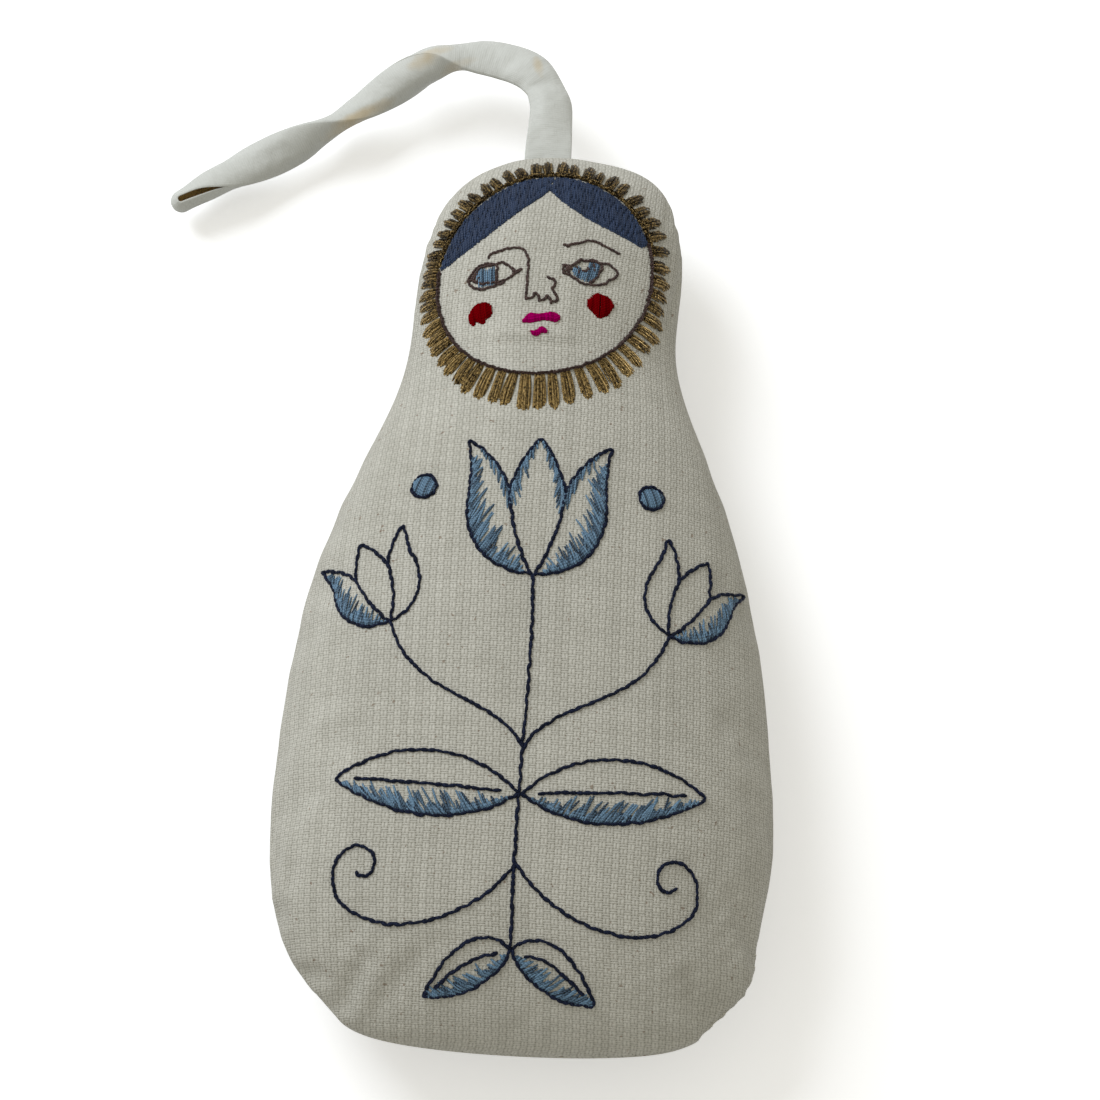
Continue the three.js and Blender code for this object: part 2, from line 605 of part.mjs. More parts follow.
const UPPER_LIP = [
  [-5.3, 44.3], [-3.5, 46.1], [-2.4, 45.8], [-1.3, 46.1], [1.4, 46.4], [1.7, 45.4], [-1.3, 44.6],
];
piece("upper_lip", "pink", patch(UPPER_LIP));
piece("lower_lip", "pink", patch(oval(-1.9, 42.8, 1.6, 0.9)));

// The design on the body is a folk spray of flowers, the same on both sides of its axis. Its lines are
// given for the right side, from the axis at DESIGN_X, and mirrored for the left.
const DESIGN_X = -0.4;
const SIDES = [["right", 1], ["left", -1]];
const placed = (line, sign = 1) => line.map(([x, y]) => [DESIGN_X + sign * x, y]);
const mirroredLoop = (half) => [...half, ...half.slice(1, -1).reverse().map(([x, y]) => [-x, y])];

// A tulip of unit height stands on its base at the origin: outer petals, and a fold inside each.
const TULIP_HALF = drawnShare([0, 0], [0.3, 0, 0.5, 0.22, 0.47, 0.55], [0.45, 0.7, 0.46, 0.84, 0.5, 0.98],
  [0.36, 0.9, 0.24, 0.76, 0.19, 0.6], [0.15, 0.76, 0.08, 0.9, 0, 1]);
const TULIP_SHADE = drawnShare([0.07, 0.07],
  [0.24, 0.08, 0.42, 0.24, 0.41, 0.5], [0.4, 0.6, 0.4, 0.68, 0.41, 0.78],
  [0.3, 0.66, 0.24, 0.5, 0.25, 0.36], [0.24, 0.24, 0.16, 0.14, 0.07, 0.07]);
const FLOWERS = {
  main: { at: [0, -3], height: 25, lean: 0 },
  side: { at: [23.5, -11.5], height: 16, lean: -24 },
};
function turned([x, y], { at, height, lean }) {
  const a = THREE.MathUtils.degToRad(lean);
  const across = x * Math.cos(a) - y * Math.sin(a);
  const up = x * Math.sin(a) + y * Math.cos(a);
  return [at[0] + height * across, at[1] + height * up];
}
const tulip = (flower, sign) => placed(mirroredLoop(TULIP_HALF).map((p) => turned(p, flower)), sign);
const shade = (flower, sign) => placed(TULIP_SHADE.map((p) => turned(p, flower)), sign);
const loopOf = (line) => run(almostClosed([...line, line[0]]));
piece("main_flower_outline", "outline", loopOf(tulip(FLOWERS.main, 1)));
for (const [side, sign] of SIDES) {
  piece("main_flower_shading_" + side, "blue", patch(shade(FLOWERS.main, sign)));
  piece(side + "_flower_outline", "outline", loopOf(tulip(FLOWERS.side, sign)));
  piece(side + "_flower_shading", "blue", patch(shade(FLOWERS.side, sign)));
}

// Stems: the middle stem, a branch to each side flower, and a curling tendril below, joined into one run.
const STEM = [[0, -4.2], [1.2, -20, -1.2, -44, 0, -64]];
const BRANCH = [[0, -33], [4, -24, 19, -26, 23.2, -12.6]];
const TENDRIL = [
  [0, -52], [7, -62, 22, -66, 29, -58.5], [33, -53, 27, -47, 23.6, -51], [22, -54, 25, -56, 26.4, -54],
];
const stemLines = [placed(drawn(...STEM))];
for (const [, sign] of SIDES) stemLines.push(placed(drawn(...BRANCH), sign), placed(drawn(...TENDRIL), sign));
piece("flower_stems", "outline", joined(stemLines.map((line) => run(line))));

// A leaf is drawn up one edge to its tip and back down the other.
const LEAVES = {
  upper: [[1.2, -40.5], [8, -33, 20, -31, 31, -38.5], [22, -45.5, 9, -47, 1.2, -40.5]],
  lower: [[1.2, -65.5], [4, -62, 10, -64, 14, -73.5], [8, -74, 2, -71, 1.2, -65.5]],
};
const LEAF_SHADES = {
  upper: [[4.5, -41.2, 11, -40.5, 20, -39.4, 28, -38.7], [4.5, -41.2, 10.5, -44.6, 20, -43.2, 28, -38.7]],
  lower: [[2.4, -66.6, 5.5, -66, 10, -69.5, 12, -72.4], [2.4, -66.6, 3.6, -70.6, 7.5, -72.6, 12, -72.4]],
};
const SHADE_STEPS = 8;
const edgeOf = (values) =>
  new THREE.CubicBezierCurve(...[0, 2, 4, 6].map((k) => new THREE.Vector2(values[k], values[k + 1])))
    .getPoints(SHADE_STEPS)
    .map((p) => [p.x, p.y]);
for (const level of Object.keys(LEAVES))
  for (const [side, sign] of SIDES) {
    const leaf = placed(drawn(...LEAVES[level]), sign);
    piece(side + "_" + level + "_leaf_outline", "outline", run(almostClosed(leaf)));
    const edges = LEAF_SHADES[level].map((values) => placed(edgeOf(values), sign));
    piece(side + "_" + level + "_leaf_shading", "blue", filledBetween(...edges));
  }

// Berries beside the main flower.
const BERRY = { at: [19.5, 13], radius: 2.1 };
for (const [side, sign] of SIDES)
  piece(side + "_berry", "blue", patch(placed(oval(...BERRY.at, BERRY.radius, BERRY.radius), sign)));

export default doll;
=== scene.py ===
import math
import bpy
import numpy as np
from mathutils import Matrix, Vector


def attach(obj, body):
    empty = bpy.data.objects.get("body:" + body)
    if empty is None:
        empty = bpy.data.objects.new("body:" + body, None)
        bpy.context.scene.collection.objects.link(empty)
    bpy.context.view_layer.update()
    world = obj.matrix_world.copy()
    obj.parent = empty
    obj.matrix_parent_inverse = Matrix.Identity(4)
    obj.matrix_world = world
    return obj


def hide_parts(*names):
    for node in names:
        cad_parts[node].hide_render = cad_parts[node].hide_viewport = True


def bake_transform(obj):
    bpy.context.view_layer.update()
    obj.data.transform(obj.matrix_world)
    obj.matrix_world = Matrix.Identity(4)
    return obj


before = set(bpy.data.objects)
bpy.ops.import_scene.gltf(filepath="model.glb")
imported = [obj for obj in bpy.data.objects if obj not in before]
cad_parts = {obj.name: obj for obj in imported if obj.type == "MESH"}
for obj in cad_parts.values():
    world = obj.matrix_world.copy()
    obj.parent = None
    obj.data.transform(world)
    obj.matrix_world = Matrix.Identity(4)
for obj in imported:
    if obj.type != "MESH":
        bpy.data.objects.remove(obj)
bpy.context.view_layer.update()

# CAMERA
# The doll lies on its back and is looked down on from a little below its feet. Lengths in this file are
# in millimetres until a mesh or a lamp is made.
MM = 0.001
SIGHT_AZIMUTH, SIGHT_ELEVATION = math.radians(-3.2), math.radians(73)
SIGHT_TARGET = Vector((0, -2.92, 18)) * MM
sight = Vector((math.sin(SIGHT_AZIMUTH) * math.cos(SIGHT_ELEVATION),
                math.cos(SIGHT_AZIMUTH) * math.cos(SIGHT_ELEVATION),
                -math.sin(SIGHT_ELEVATION)))


def put_in_scene(name, data):
    thing = bpy.data.objects.new(name, data)
    bpy.context.collection.objects.link(thing)
    return thing


camera_data = bpy.data.cameras.new("camera")
camera_data.sensor_width = 36
camera_data.lens = 95.1
camera_data.shift_x = 0.0136
camera_data.shift_y = 0.0455
camera_data.clip_start = 0.01
camera = put_in_scene("camera", camera_data)
camera.location = SIGHT_TARGET - 0.5 * sight
camera.rotation_euler = sight.to_track_quat("-Z", "Y").to_euler()
bpy.context.scene.camera = camera

# HANGING RIBBON
# One length of soft cream ribbon, 8 mm wide, folded in two. Its tails are caught in the top seam, and the
# free loop, 193 mm of ribbon, lies over to one side with about one and a quarter turns of twist.
RIBBON_WIDTH, RIBBON_PLY, PLY_GAP = 8.0, 0.4, 3.3
TAILS_FROM_Y, LOOP_FROM_Y, SEAM_Z = 76.9, 81.2, 15.65
CORNER_AT, SECOND_KINK_AT, CROSSINGS_AT, WAIST_AT = 16, 24.5, (42, 63), 54  # from the seam along the loop
LOOP_ROUTE = np.array((  # x, y, z and roll in degrees
    (-2.4, 81.2, 15.6, 0), (-2.3, 87.9, 15.0, 0), (-2.3, 93.0, 14.3, 0), (-3.4, 97.2, 13.5, -1),
    (-5.9, 99.9, 12.9, -2), (-9.0, 101.7, 12.2, -4), (-13.3, 103.2, 11.3, -8), (-17.4, 103.9, 10.7, -20),
    (-20.8, 103.9, 10.1, -48), (-24.3, 102.9, 9.5, -92), (-28.0, 100.9, 8.8, -128), (-32.3, 97.9, 7.9, -158),
    (-38.0, 94.0, 6.7, -206), (-43.3, 90.3, 6.0, -262), (-48.5, 87.0, 5.5, -308), (-54.0, 83.9, 5.2, -340),
    (-61.0, 80.2, 4.9, -384), (-66.8, 76.3, 4.7, -426), (-69.7, 74.3, 4.6, -438)))


def spline(places, values):
    """A natural cubic spline through values, a column or a table of them, at those places."""
    places, values = np.asarray(places, float), np.asarray(values, float)
    step = np.diff(places)
    slope = np.diff(values, axis=0) / step.reshape(-1, *[1] * (values.ndim - 1))
    system = np.diag(np.ones(len(places)))
    bend = np.zeros_like(values)
    for k in range(1, len(places) - 1):
        system[k, k - 1:k + 2] = step[k - 1], 2 * (step[k - 1] + step[k]), step[k]
        bend[k] = 6 * (slope[k] - slope[k - 1])
    bend = np.linalg.solve(system, bend.reshape(len(places), -1)).reshape(values.shape)

    def at(place):
        place = np.asarray(place, float)
        k = np.clip(np.searchsorted(places, place) - 1, 0, len(places) - 2)
        shape = place.shape + (1,) * (values.ndim - 1)
        t, h = (place - places[k]).reshape(shape), step[k].reshape(shape)
        start = slope[k] - h * (2 * bend[k] + bend[k + 1]) / 6
        return values[k] + t * (start + t * (bend[k] / 2 + t * (bend[k + 1] - bend[k]) / (6 * h)))
    return at


def with_soft_corners(places, values, reach):
    """Straight runs through the rows of values at those places, each corner rounded within that reach."""
    places = np.concatenate(([2 * places[0] - places[1]], places, [2 * places[-1] - places[-2]]))
    values = np.concatenate(([2 * values[0] - values[1]], values, [2 * values[-1] - values[-2]]))

    def at(place):
        near = np.asarray(place)[:, None] + np.linspace(-reach, reach, 9)
        return np.stack([np.interp(near, places, column).mean(1) for column in values.T], 1)
    return at


def travelled(points):
    """How far along a line of points each of them is."""
    return np.concatenate(([0], np.cumsum(np.linalg.norm(np.diff(points, axis=0), axis=1))))


def spots_at(places, run, line):
    """The spots of a line at places counted as run counts its points."""
    return np.stack([np.interp(places, run, column) for column in line.T], 1)


def unit(vectors):
    return vectors / np.maximum(np.linalg.norm(vectors, axis=-1, keepdims=True), 1e-12)


def smooth_step(x, start, end):
    t = np.clip((x - start) / (end - start), 0, 1)
    return t * t * (3 - 2 * t)


def hump(x, middle, spread):
    """1 at the middle, falling to nothing on both sides of it."""
    return np.exp(-((x - middle) / spread) ** 2)


class Wire:
    """The output of a shader node, with arithmetic that adds Math nodes."""

    def __init__(self, tree, socket=None):
        self.tree, self.socket = tree, socket

    def node(self, kind, settings=None, inputs=None, output=0):
        made = self.tree.nodes.new("ShaderNode" + kind)
        for name, value in (settings or {}).items():
            if name == "stops":
                ramp = made.color_ramp.elements
                while len(ramp) < len(value):
                    ramp.new(0.5)
                for stop, (place, colour) in zip(ramp, value):
                    stop.position, stop.color = place, colour
            else:
                setattr(made, name, value)
        for name, value in (inputs or {}).items():
            if isinstance(value, Wire):
                self.tree.links.new(value.socket, made.inputs[name])
            else:
                made.inputs[name].default_value = value
        return Wire(self.tree, made.outputs[output])

    def math(self, operation, *values):
        return self.node("Math", {"operation": operation}, dict(enumerate(values)))

    def __add__(self, other): return self.math("ADD", self, other)
    def __radd__(self, other): return self.math("ADD", other, self)
    def __sub__(self, other): return self.math("SUBTRACT", self, other)
    def __rsub__(self, other): return self.math("SUBTRACT", other, self)
    def __mul__(self, other): return self.math("MULTIPLY", self, other)
    def __rmul__(self, other): return self.math("MULTIPLY", other, self)
    def __truediv__(self, other): return self.math("DIVIDE", self, other)

    def of(self, operation):
        """A function of this wire alone, such as SINE or FLOOR."""
        return self.math(operation, self)

    def clamped(self):
        return self.math("MINIMUM", self.math("MAXIMUM", self, 0.0), 1.0)

    def blended(self, first, second):
        """A colour between two, by this wire as the share of the second."""
        return self.node("Mix", {"data_type": "RGBA"}, {"Factor": self, 6: first, 7: second}, 2)

    def lay(self):
        """Millimetres along a piece and across it, from its UV map."""
        return self.node("UVMap", {"uv_map": "lay"})

    def place(self):
        """The point's place on the object, in metres."""
        return self.node("TexCoord", None, None, 3)

    def part(self, axis):
        """A vector's x (0) or y (1)."""
        return self.node("SeparateXYZ", None, {"Vector": self}, axis)

    def stretched(self, x, y):
        return self.node("Mapping", None, {"Vector": self, "Scale": (x, y, 1)})

    def noise(self, scale, detail=2.0, roughness=0.5):
        """Soft noise over the coordinates on this wire."""
        sizes = {"Vector": self, "Scale": scale, "Detail": detail, "Roughness": roughness}
        return self.node("TexNoise", None, sizes)

    def dice(self):
        """A random tone for each whole number on this wire."""
        return self.node("TexWhiteNoise", {"noise_dimensions": "1D"}, {"W": self})

    def bumped(self, depth, strength=1.0):
        """The normal of a surface with this wire as its height."""
        return self.node("Bump", None, {"Height": self, "Distance": depth * MM, "Strength": strength})


def dyed(red, green, blue):
    """A colour as it looks on a screen, 0 to 255, as a shader takes it."""
    share = np.array((red, green, blue)) / 255
    linear = np.where(share <= 0.04045, share / 12.92, ((share + 0.055) / 1.055) ** 2.4)
    return (*[float(v) for v in linear], 1.0)


def new_finish(name, **constants):
    """A material with its Principled shader's plain sockets set, and its nodes to build on."""
    material = bpy.data.materials.new(name)
    material.use_nodes = True
    shader = material.node_tree.nodes["Principled BSDF"]
    for socket, value in constants.items():
        shader.inputs[socket.replace("_", " ")].default_value = value
    return material, shader, Wire(material.node_tree)


def feed(shader, **wires):
    for socket, wire in wires.items():
        shader.id_data.links.new(wire.socket, shader.inputs[socket.replace("_", " ")])


def new_piece(name, points, faces, materials, slot, uv=None):
    """A smooth mesh piece from points in millimetres. uv holds one pair for each corner of each face."""
    mesh = bpy.data.meshes.new(name)
    mesh.from_pydata((np.asarray(points) * MM).tolist(), [], faces)
    mesh.polygons.foreach_set("use_smooth", [True] * len(mesh.polygons))
    if uv is not None:
        mesh.uv_layers.new(name="lay").data.foreach_set("uv", np.asarray(uv, np.float32).ravel())
    for material in materials:
        mesh.materials.append(material)
    return put_in_scene(name, mesh)


def grid_faces(rows, columns, closed=False, start=0):
    """Quads between neighbouring rows of points. A closed row's end joins its start."""
    across = columns if closed else columns - 1
    j, i = np.meshgrid(np.arange(rows - 1), np.arange(across), indexing="ij")
    corner = start + j * columns + i
    beside = start + j * columns + (i + 1) % columns
    return np.stack((corner, beside, beside + columns, corner + columns), -1).reshape(-1, 4)


def ribbon_frames():
    """The ribbon's middle line out along one ply, round the fold and back: route point, normal,
    direction across the ribbon, half the gap between plies, and distance from the seam."""
    chord = travelled(LOOP_ROUTE[:, :3])
    route, roll = with_soft_corners(chord, LOOP_ROUTE[:, :3], 1.6), spline(chord, LOOP_ROUTE[:, 3])
    tail = np.linspace(TAILS_FROM_Y - LOOP_FROM_Y, 0, 5)[:-1]
    reach = np.concatenate((tail, np.linspace(0, chord[-1], 150)))
    free = np.maximum(reach, 0)
    centre = route(free)
    centre[:, 1] += np.minimum(reach, 0)
    along = unit(route(free + 0.4) - route(free - 0.4))
    along[reach < 0] = (0, 1, 0)
    level = unit(np.cross(along, (0, 0, 1)))
    turn = np.radians(roll(free))[:, None]
    across = level * np.cos(turn) - np.cross(along, level) * np.sin(turn)
    normal = np.cross(across, along)
    puffed = 0.8 * smooth_step(reach, 0, 12) + 0.2 * smooth_step(reach, 18, 44)
    half = (RIBBON_PLY + 0.3 + (PLY_GAP - RIBBON_PLY - 0.3) * puffed) / 2
    half *= 1 + 0.9 * hump(reach, CROSSINGS_AT[0], 6) + 0.1 * hump(reach, CROSSINGS_AT[1], 6)
    half *= 1 + 0.42 * smooth_step(reach, chord[-1] - 18, chord[-1] - 7)
    half *= 1 - 0.24 * smooth_step(reach, chord[-1] - 7, chord[-1])
    out = [centre, normal, across, half, reach]
    fold = np.linspace(0, math.pi, 13)[1:-1, None]
    round_it = [np.repeat(centre[-1:], len(fold), 0), normal[-1] * np.cos(fold) + along[-1] * np.sin(fold),
                np.repeat(across[-1:], len(fold), 0), np.repeat(half[-1:], len(fold)),
                np.repeat(reach[-1:], len(fold))]
    back = [centre[::-1], -normal[::-1], across[::-1], half[::-1], reach[::-1]]
    return [np.concatenate(parts) for parts in zip(out, round_it, back)]


def ribbon_mesh():
    centre, normal, across, half, reach = ribbon_frames()
    # One ply's section: its outer face and a round selvedge, and then the same turned over.
    width = np.linspace(-1, 1, 15)
    thick = RIBBON_PLY / 2
    selvedge = np.linspace(math.pi / 2, -math.pi / 2, 5)[1:-1]
    half_section = np.concatenate((
        np.stack((width, np.full(15, thick)), 1),
        np.stack((1 + 0.05 * np.cos(selvedge), thick * np.sin(selvedge)), 1)))
    share, height = np.concatenate((half_section, -half_section)).T
    path = centre + normal * half[:, None]
    run = travelled(path)
    place, last = reach[:, None], reach.max()
    free, tip = smooth_step(place, 1, 10), smooth_step(place, last - 12, last)
    closed = 1 - 1.04 * thick / half[:, None]
    open_tip = smooth_step(place, last - 10, last - 2) * (1 - np.clip(-1.6 * across[:, 2:] * share, 0, 1))
    drawn_in = 0.25 + (closed - 0.25) * free + (0.58 - closed) * open_tip
    cup = 1 - drawn_in * np.abs(share) ** 2.4
    ripple = np.sin(run[:, None] / 2.7 + 2.6 * share) * np.cos(run[:, None] / 6.1 - 1.4 * share)
    kink = (0.55 * hump(place + 1.2 * share, CORNER_AT, 1.5)
            + 0.25 * hump(place + 1.6 * share, SECOND_KINK_AT, 1.5))
    lift = half[:, None] * cup + height + (0.2 * ripple - kink) * free * (1 - share ** 4)
    narrow = 1 - 0.07 * free - 0.05 * smooth_step(place, 30, 50) - 0.26 * tip
    narrow = (narrow - 0.1 * hump(place, WAIST_AT, 6)
              - 0.22 * hump(place, CORNER_AT, 3.2) * np.clip(share, 0, 1))
    points = (centre[:, None] + normal[:, None] * lift[..., None]
              + across[:, None] * (share * narrow * RIBBON_WIDTH / 2)[..., None])
    rows, columns = points.shape[:2]
    faces = grid_faces(rows, columns, closed=True)[:, ::-1]
    lay = np.stack(np.broadcast_arrays(run[:, None], share * RIBBON_WIDTH / 2), -1).reshape(-1, 2)
    uv = np.concatenate((lay[faces.ravel()], np.zeros((2 * columns, 2))))
    inner = np.tile((height < -thick / 2) & (np.roll(height, -1) < -thick / 2), rows - 1)
    ends = [list(range(columns)), list(range((rows - 1) * columns, rows * columns))[::-1]]
    kept = (reach >= 0) & ((reach == last) | (np.arange(rows) % 8 == 0))
    return points.reshape(-1, 3), faces.tolist() + ends, uv, inner, path[kept]


RIB_PITCH, END_PITCH = 0.42, 0.3
FOLD_SHADE_PATCHES = (  # middle, turn in degrees, reach along and across, and strength of each painted tan shade patch at a fold
    ((-25.2, 102.4, 11), 28, (5.5, 2.0), 0.5), ((-5.2, 100.9, 13.5), -75, (2.8, 1.1), 0.4),
    ((-38.0, 91.4, 8), 33, (8.5, 1.3), 0.55), ((-19.9, 101.2, 10.5), 20, (4.5, 1.2), 0.3))


def ribbon_finish(name, colour, shade):
    """Fine, soft ribbon: close cross ribs and a matt silky face, a little uneven in tone, with painted tan
    shade at its folds.
    """
    material, shader, wire = new_finish(name, Roughness=0.62, Sheen_Weight=0.25, Sheen_Roughness=0.5)
    lay, place = wire.lay(), wire.place()
    ribs = (lay.part(0) * (2 * math.pi / RIB_PITCH)).of("SINE")
    ends = (lay.part(1) * (2 * math.pi / END_PITCH)).of("SINE")
    fleck = place.noise(2400, 1)
    # The ribs add a little painted highlight on their crests; the rest of the tone differs at random.
    tone = (0.62 * place.noise(160, 3) + 0.3 * fleck + 0.08 * ribs).clamped()
    ragged, fold_shade = place.noise(420, 3), 0.0
    # Each patch paints tan shade where the ribbon folds over or crosses itself.
    for (x, y, z), turn, (long, wide), share in FOLD_SHADE_PATCHES:
        patch = wire.node("Mapping", {"vector_type": "TEXTURE"},
                          {"Vector": place, "Location": (x * MM, y * MM, z * MM),
                           "Rotation": (0, 0, math.radians(turn)), "Scale": (long * MM, wide * MM, 4 * MM)})
        reach = wire.node("VectorMath", {"operation": "LENGTH"}, {"Vector": patch}, 1)
        fold_shade = ((1.0 - reach) * 1.5 + (ragged - 0.5) * 1.2).clamped() * share + fold_shade
    feed(shader, Base_Color=fold_shade.blended(tone.blended(shade, colour), dyed(186, 160, 104)))
    crumple = lay.stretched(0.35, 0.22).noise(1.0, 2)
    feed(shader, Normal=(ribs * 0.05 + ends * 0.035 + fleck * 0.1 + crumple * 2.2).bumped(0.3, 0.7))
    return material


ribbon_points, ribbon_faces, ribbon_uv, ribbon_inner, ribbon_path = ribbon_mesh()
# The second finish, tan, goes on the faces inside the loop between the plies: painted warm shade there.
ribbon = new_piece("cream_ribbon", ribbon_points, ribbon_faces,
                   [ribbon_finish("ribbon", dyed(209, 211, 205), dyed(190, 191, 185)),
                    ribbon_finish("ribbon_inside_shade", dyed(228, 210, 164), dyed(206, 180, 124))],
                   "ribbon", ribbon_uv)
inner_faces = np.concatenate((ribbon_inner, [False, False]))
ribbon.data.polygons.foreach_set("material_index", inner_faces.astype(np.int32))
(ribbon_path * MM).tolist()
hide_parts("hanging_ribbon", "ribbon_ends")
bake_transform(ribbon)

# CANVAS COVER
# Front and back panels of natural cotton canvas, cut to one outline, sewn right sides together and
# turned. The outline and the depth are those of the part's source.
STATIONS = np.array((  # y, left x, right x, half thickness
    (-81, 0, 0, 0), (-79.5, -22.6, 24.5, 3.8), (-75, -31, 32.6, 7.6), (-69, -36.5, 38, 10.6),
    (-58.8, -41.2, 41.1, 13.6), (-44.5, -43, 43, 15.5), (-30.4, -42.8, 42.2, 16), (-14.2, -41.5, 40.3, 16),
    (2, -38.6, 36.9, 15.5), (14.2, -34.8, 33.2, 14.8), (24.3, -30.7, 29.3, 13.6), (33.4, -27.1, 25.4, 12.2),
    (42.5, -25.2, 22.8, 11.6), (52.6, -24.8, 22.9, 11.4), (62.8, -23.5, 23.1, 10.8), (69.9, -21, 21.6, 9.2),
    (75.5, -16.8, 18.8, 6.8), (79.5, -10, 12.5, 3.4), (81, 0, 0, 0)))
BASE_Y, TOP_Y = STATIONS[0, 0], STATIONS[-1, 0]
LIP_Z, SLOT_Z, RIBBON_X = 0.15, 0.7, -2.4
CREASE_HEIGHT, CREASE_INSET, CLOSING_PITCH = 1.5, 0.7, 2.02


def angle_of(y):
    return np.arccos(np.clip(1 - 2 * (y - BASE_Y) / (TOP_Y - BASE_Y), -1, 1))


outline_at = spline(angle_of(STATIONS[:, 0]), STATIONS[:, 1:])


def cover_form(angle, u, side):
    """Points of the stuffed cover. u runs from -1 at the left seam to 1 at the right one, and side is 1
    for the front and -1 for the back."""
    angle, u = np.broadcast_arrays(angle, u)
    left, right, half = np.moveaxis(outline_at(angle), -1, 0)
    y = BASE_Y + (TOP_Y - BASE_Y) * (1 - np.cos(angle)) / 2
    x = (left + right) / 2 + u * (right - left) / 2
    height = half * np.maximum(0, 1 - np.abs(u) ** 2.2) ** 0.52
    crease = CREASE_INSET * np.maximum(0, 1 - height / CREASE_HEIGHT) ** 2
    beside = 1 - smooth_step(np.abs(x - RIBBON_X), RIBBON_WIDTH / 2, RIBBON_WIDTH / 2 + 6)
    lip = LIP_Z + (SLOT_Z - LIP_Z) * beside * (y > 41)
    closed = smooth_step(y, -80.5, -77) * (1 - smooth_step(y, -67, -60)) * np.maximum(0, u) ** 8
    x = x + closed * (1.15 - 0.35 * np.abs(np.sin(math.pi * (y + 61) / CLOSING_PITCH)) ** 0.6)
    inwards = np.stack((x, y * 0.6), -1)
    inwards = unit(inwards) * crease[..., None]
    z = SEAM_Z + side * (lip + height)
    return np.stack((x - inwards[..., 0], y - inwards[..., 1], z), -1)


ROWS, COLUMNS = 240, 132
PAIR_PITCH, PICK_PITCH, TWIN, SEED_LEVEL = 1.2, 0.82, 0.24, 0.71
angles = np.linspace(0, math.pi, ROWS + 1)
shares = -np.cos(np.linspace(0, math.pi, COLUMNS + 1))


def canvas_finish():
    """Unbleached canvas, woven with ends in pairs over picks in pairs, with slubs and seed flecks."""
    material, shader, wire = new_finish("natural_canvas", Roughness=0.92, Sheen_Weight=0.12)
    lay, place = wire.lay(), wire.place()
    warp = lay.part(0) / PAIR_PITCH + 0.4 * lay.stretched(1.1, 0.3).noise(1.0, 3)
    weft = lay.part(1) / PICK_PITCH + 0.4 * lay.stretched(0.3, 1.6).noise(1.0, 3)
    end, pick = warp.of("FLOOR"), weft.of("FLOOR")
    over, under = (weft - 0.5 + end) * math.pi, (warp - 0.5 + pick) * math.pi
    from_end = (warp - end - 0.5).of("ABSOLUTE") - TWIN
    from_pick = (weft - pick - 0.5).of("ABSOLUTE") - TWIN
    end_height = 0.8 - from_end * from_end * 9.0 + over.of("COSINE") * 0.3
    pick_height = 0.7 - from_pick * from_pick * 9.0 - under.of("COSINE") * 0.34
    weave = wire.math("MAXIMUM", end_height, pick_height)
    gap = ((0.5 - weave) * 4.0).clamped()
    fuzz = place.noise(3200, 2)
    feed(shader, Normal=(weave + 0.3 * fuzz).bumped(0.18, 0.9))
    # The yarn crowns are painted lighter and the gaps between yarns darker, painted highlight and shade; the
    # tone also differs at random by yarn and over the cloth.
    tone = (0.5 * (weave - 0.8) - 0.7 * gap + 0.08 * end.dice() + 0.05 * (pick + 0.37).dice()
            + 0.26 * place.noise(260, 4, 0.6) + 0.16 * place.noise(42, 2) + 0.26 * fuzz + 0.145)
    yarn = tone.clamped().blended(dyed(129, 126, 112), dyed(223, 221, 211))
    seeds = place.noise(1100, 1)
    fleck = ((seeds - SEED_LEVEL) * 20.0 * (place.noise(170, 1) - 0.43) * 9.0).clamped()
    fleck = fleck * wire.math("GREATER_THAN", seeds, SEED_LEVEL)
    feed(shader, Base_Color=(0.6 * fleck).blended(yarn, dyed(112, 84, 58)))
    return material


canvas = canvas_finish()
TURN_IN = ((0.0, 1.0), (0.35, 0.55), (0.9, 0.35), (1.6, 0.6), (3.0, 1.0), (4.2, 1.0))  # inset, share of lip
SIM_ROWS, SIM_COLUMNS, SIM_SCALE, SIM_FRAMES = 60, 34, 0.01, 20
START_SHARE, MOVE_SHARE, MOST_MOVE = 0.93, 0.7, 1.2


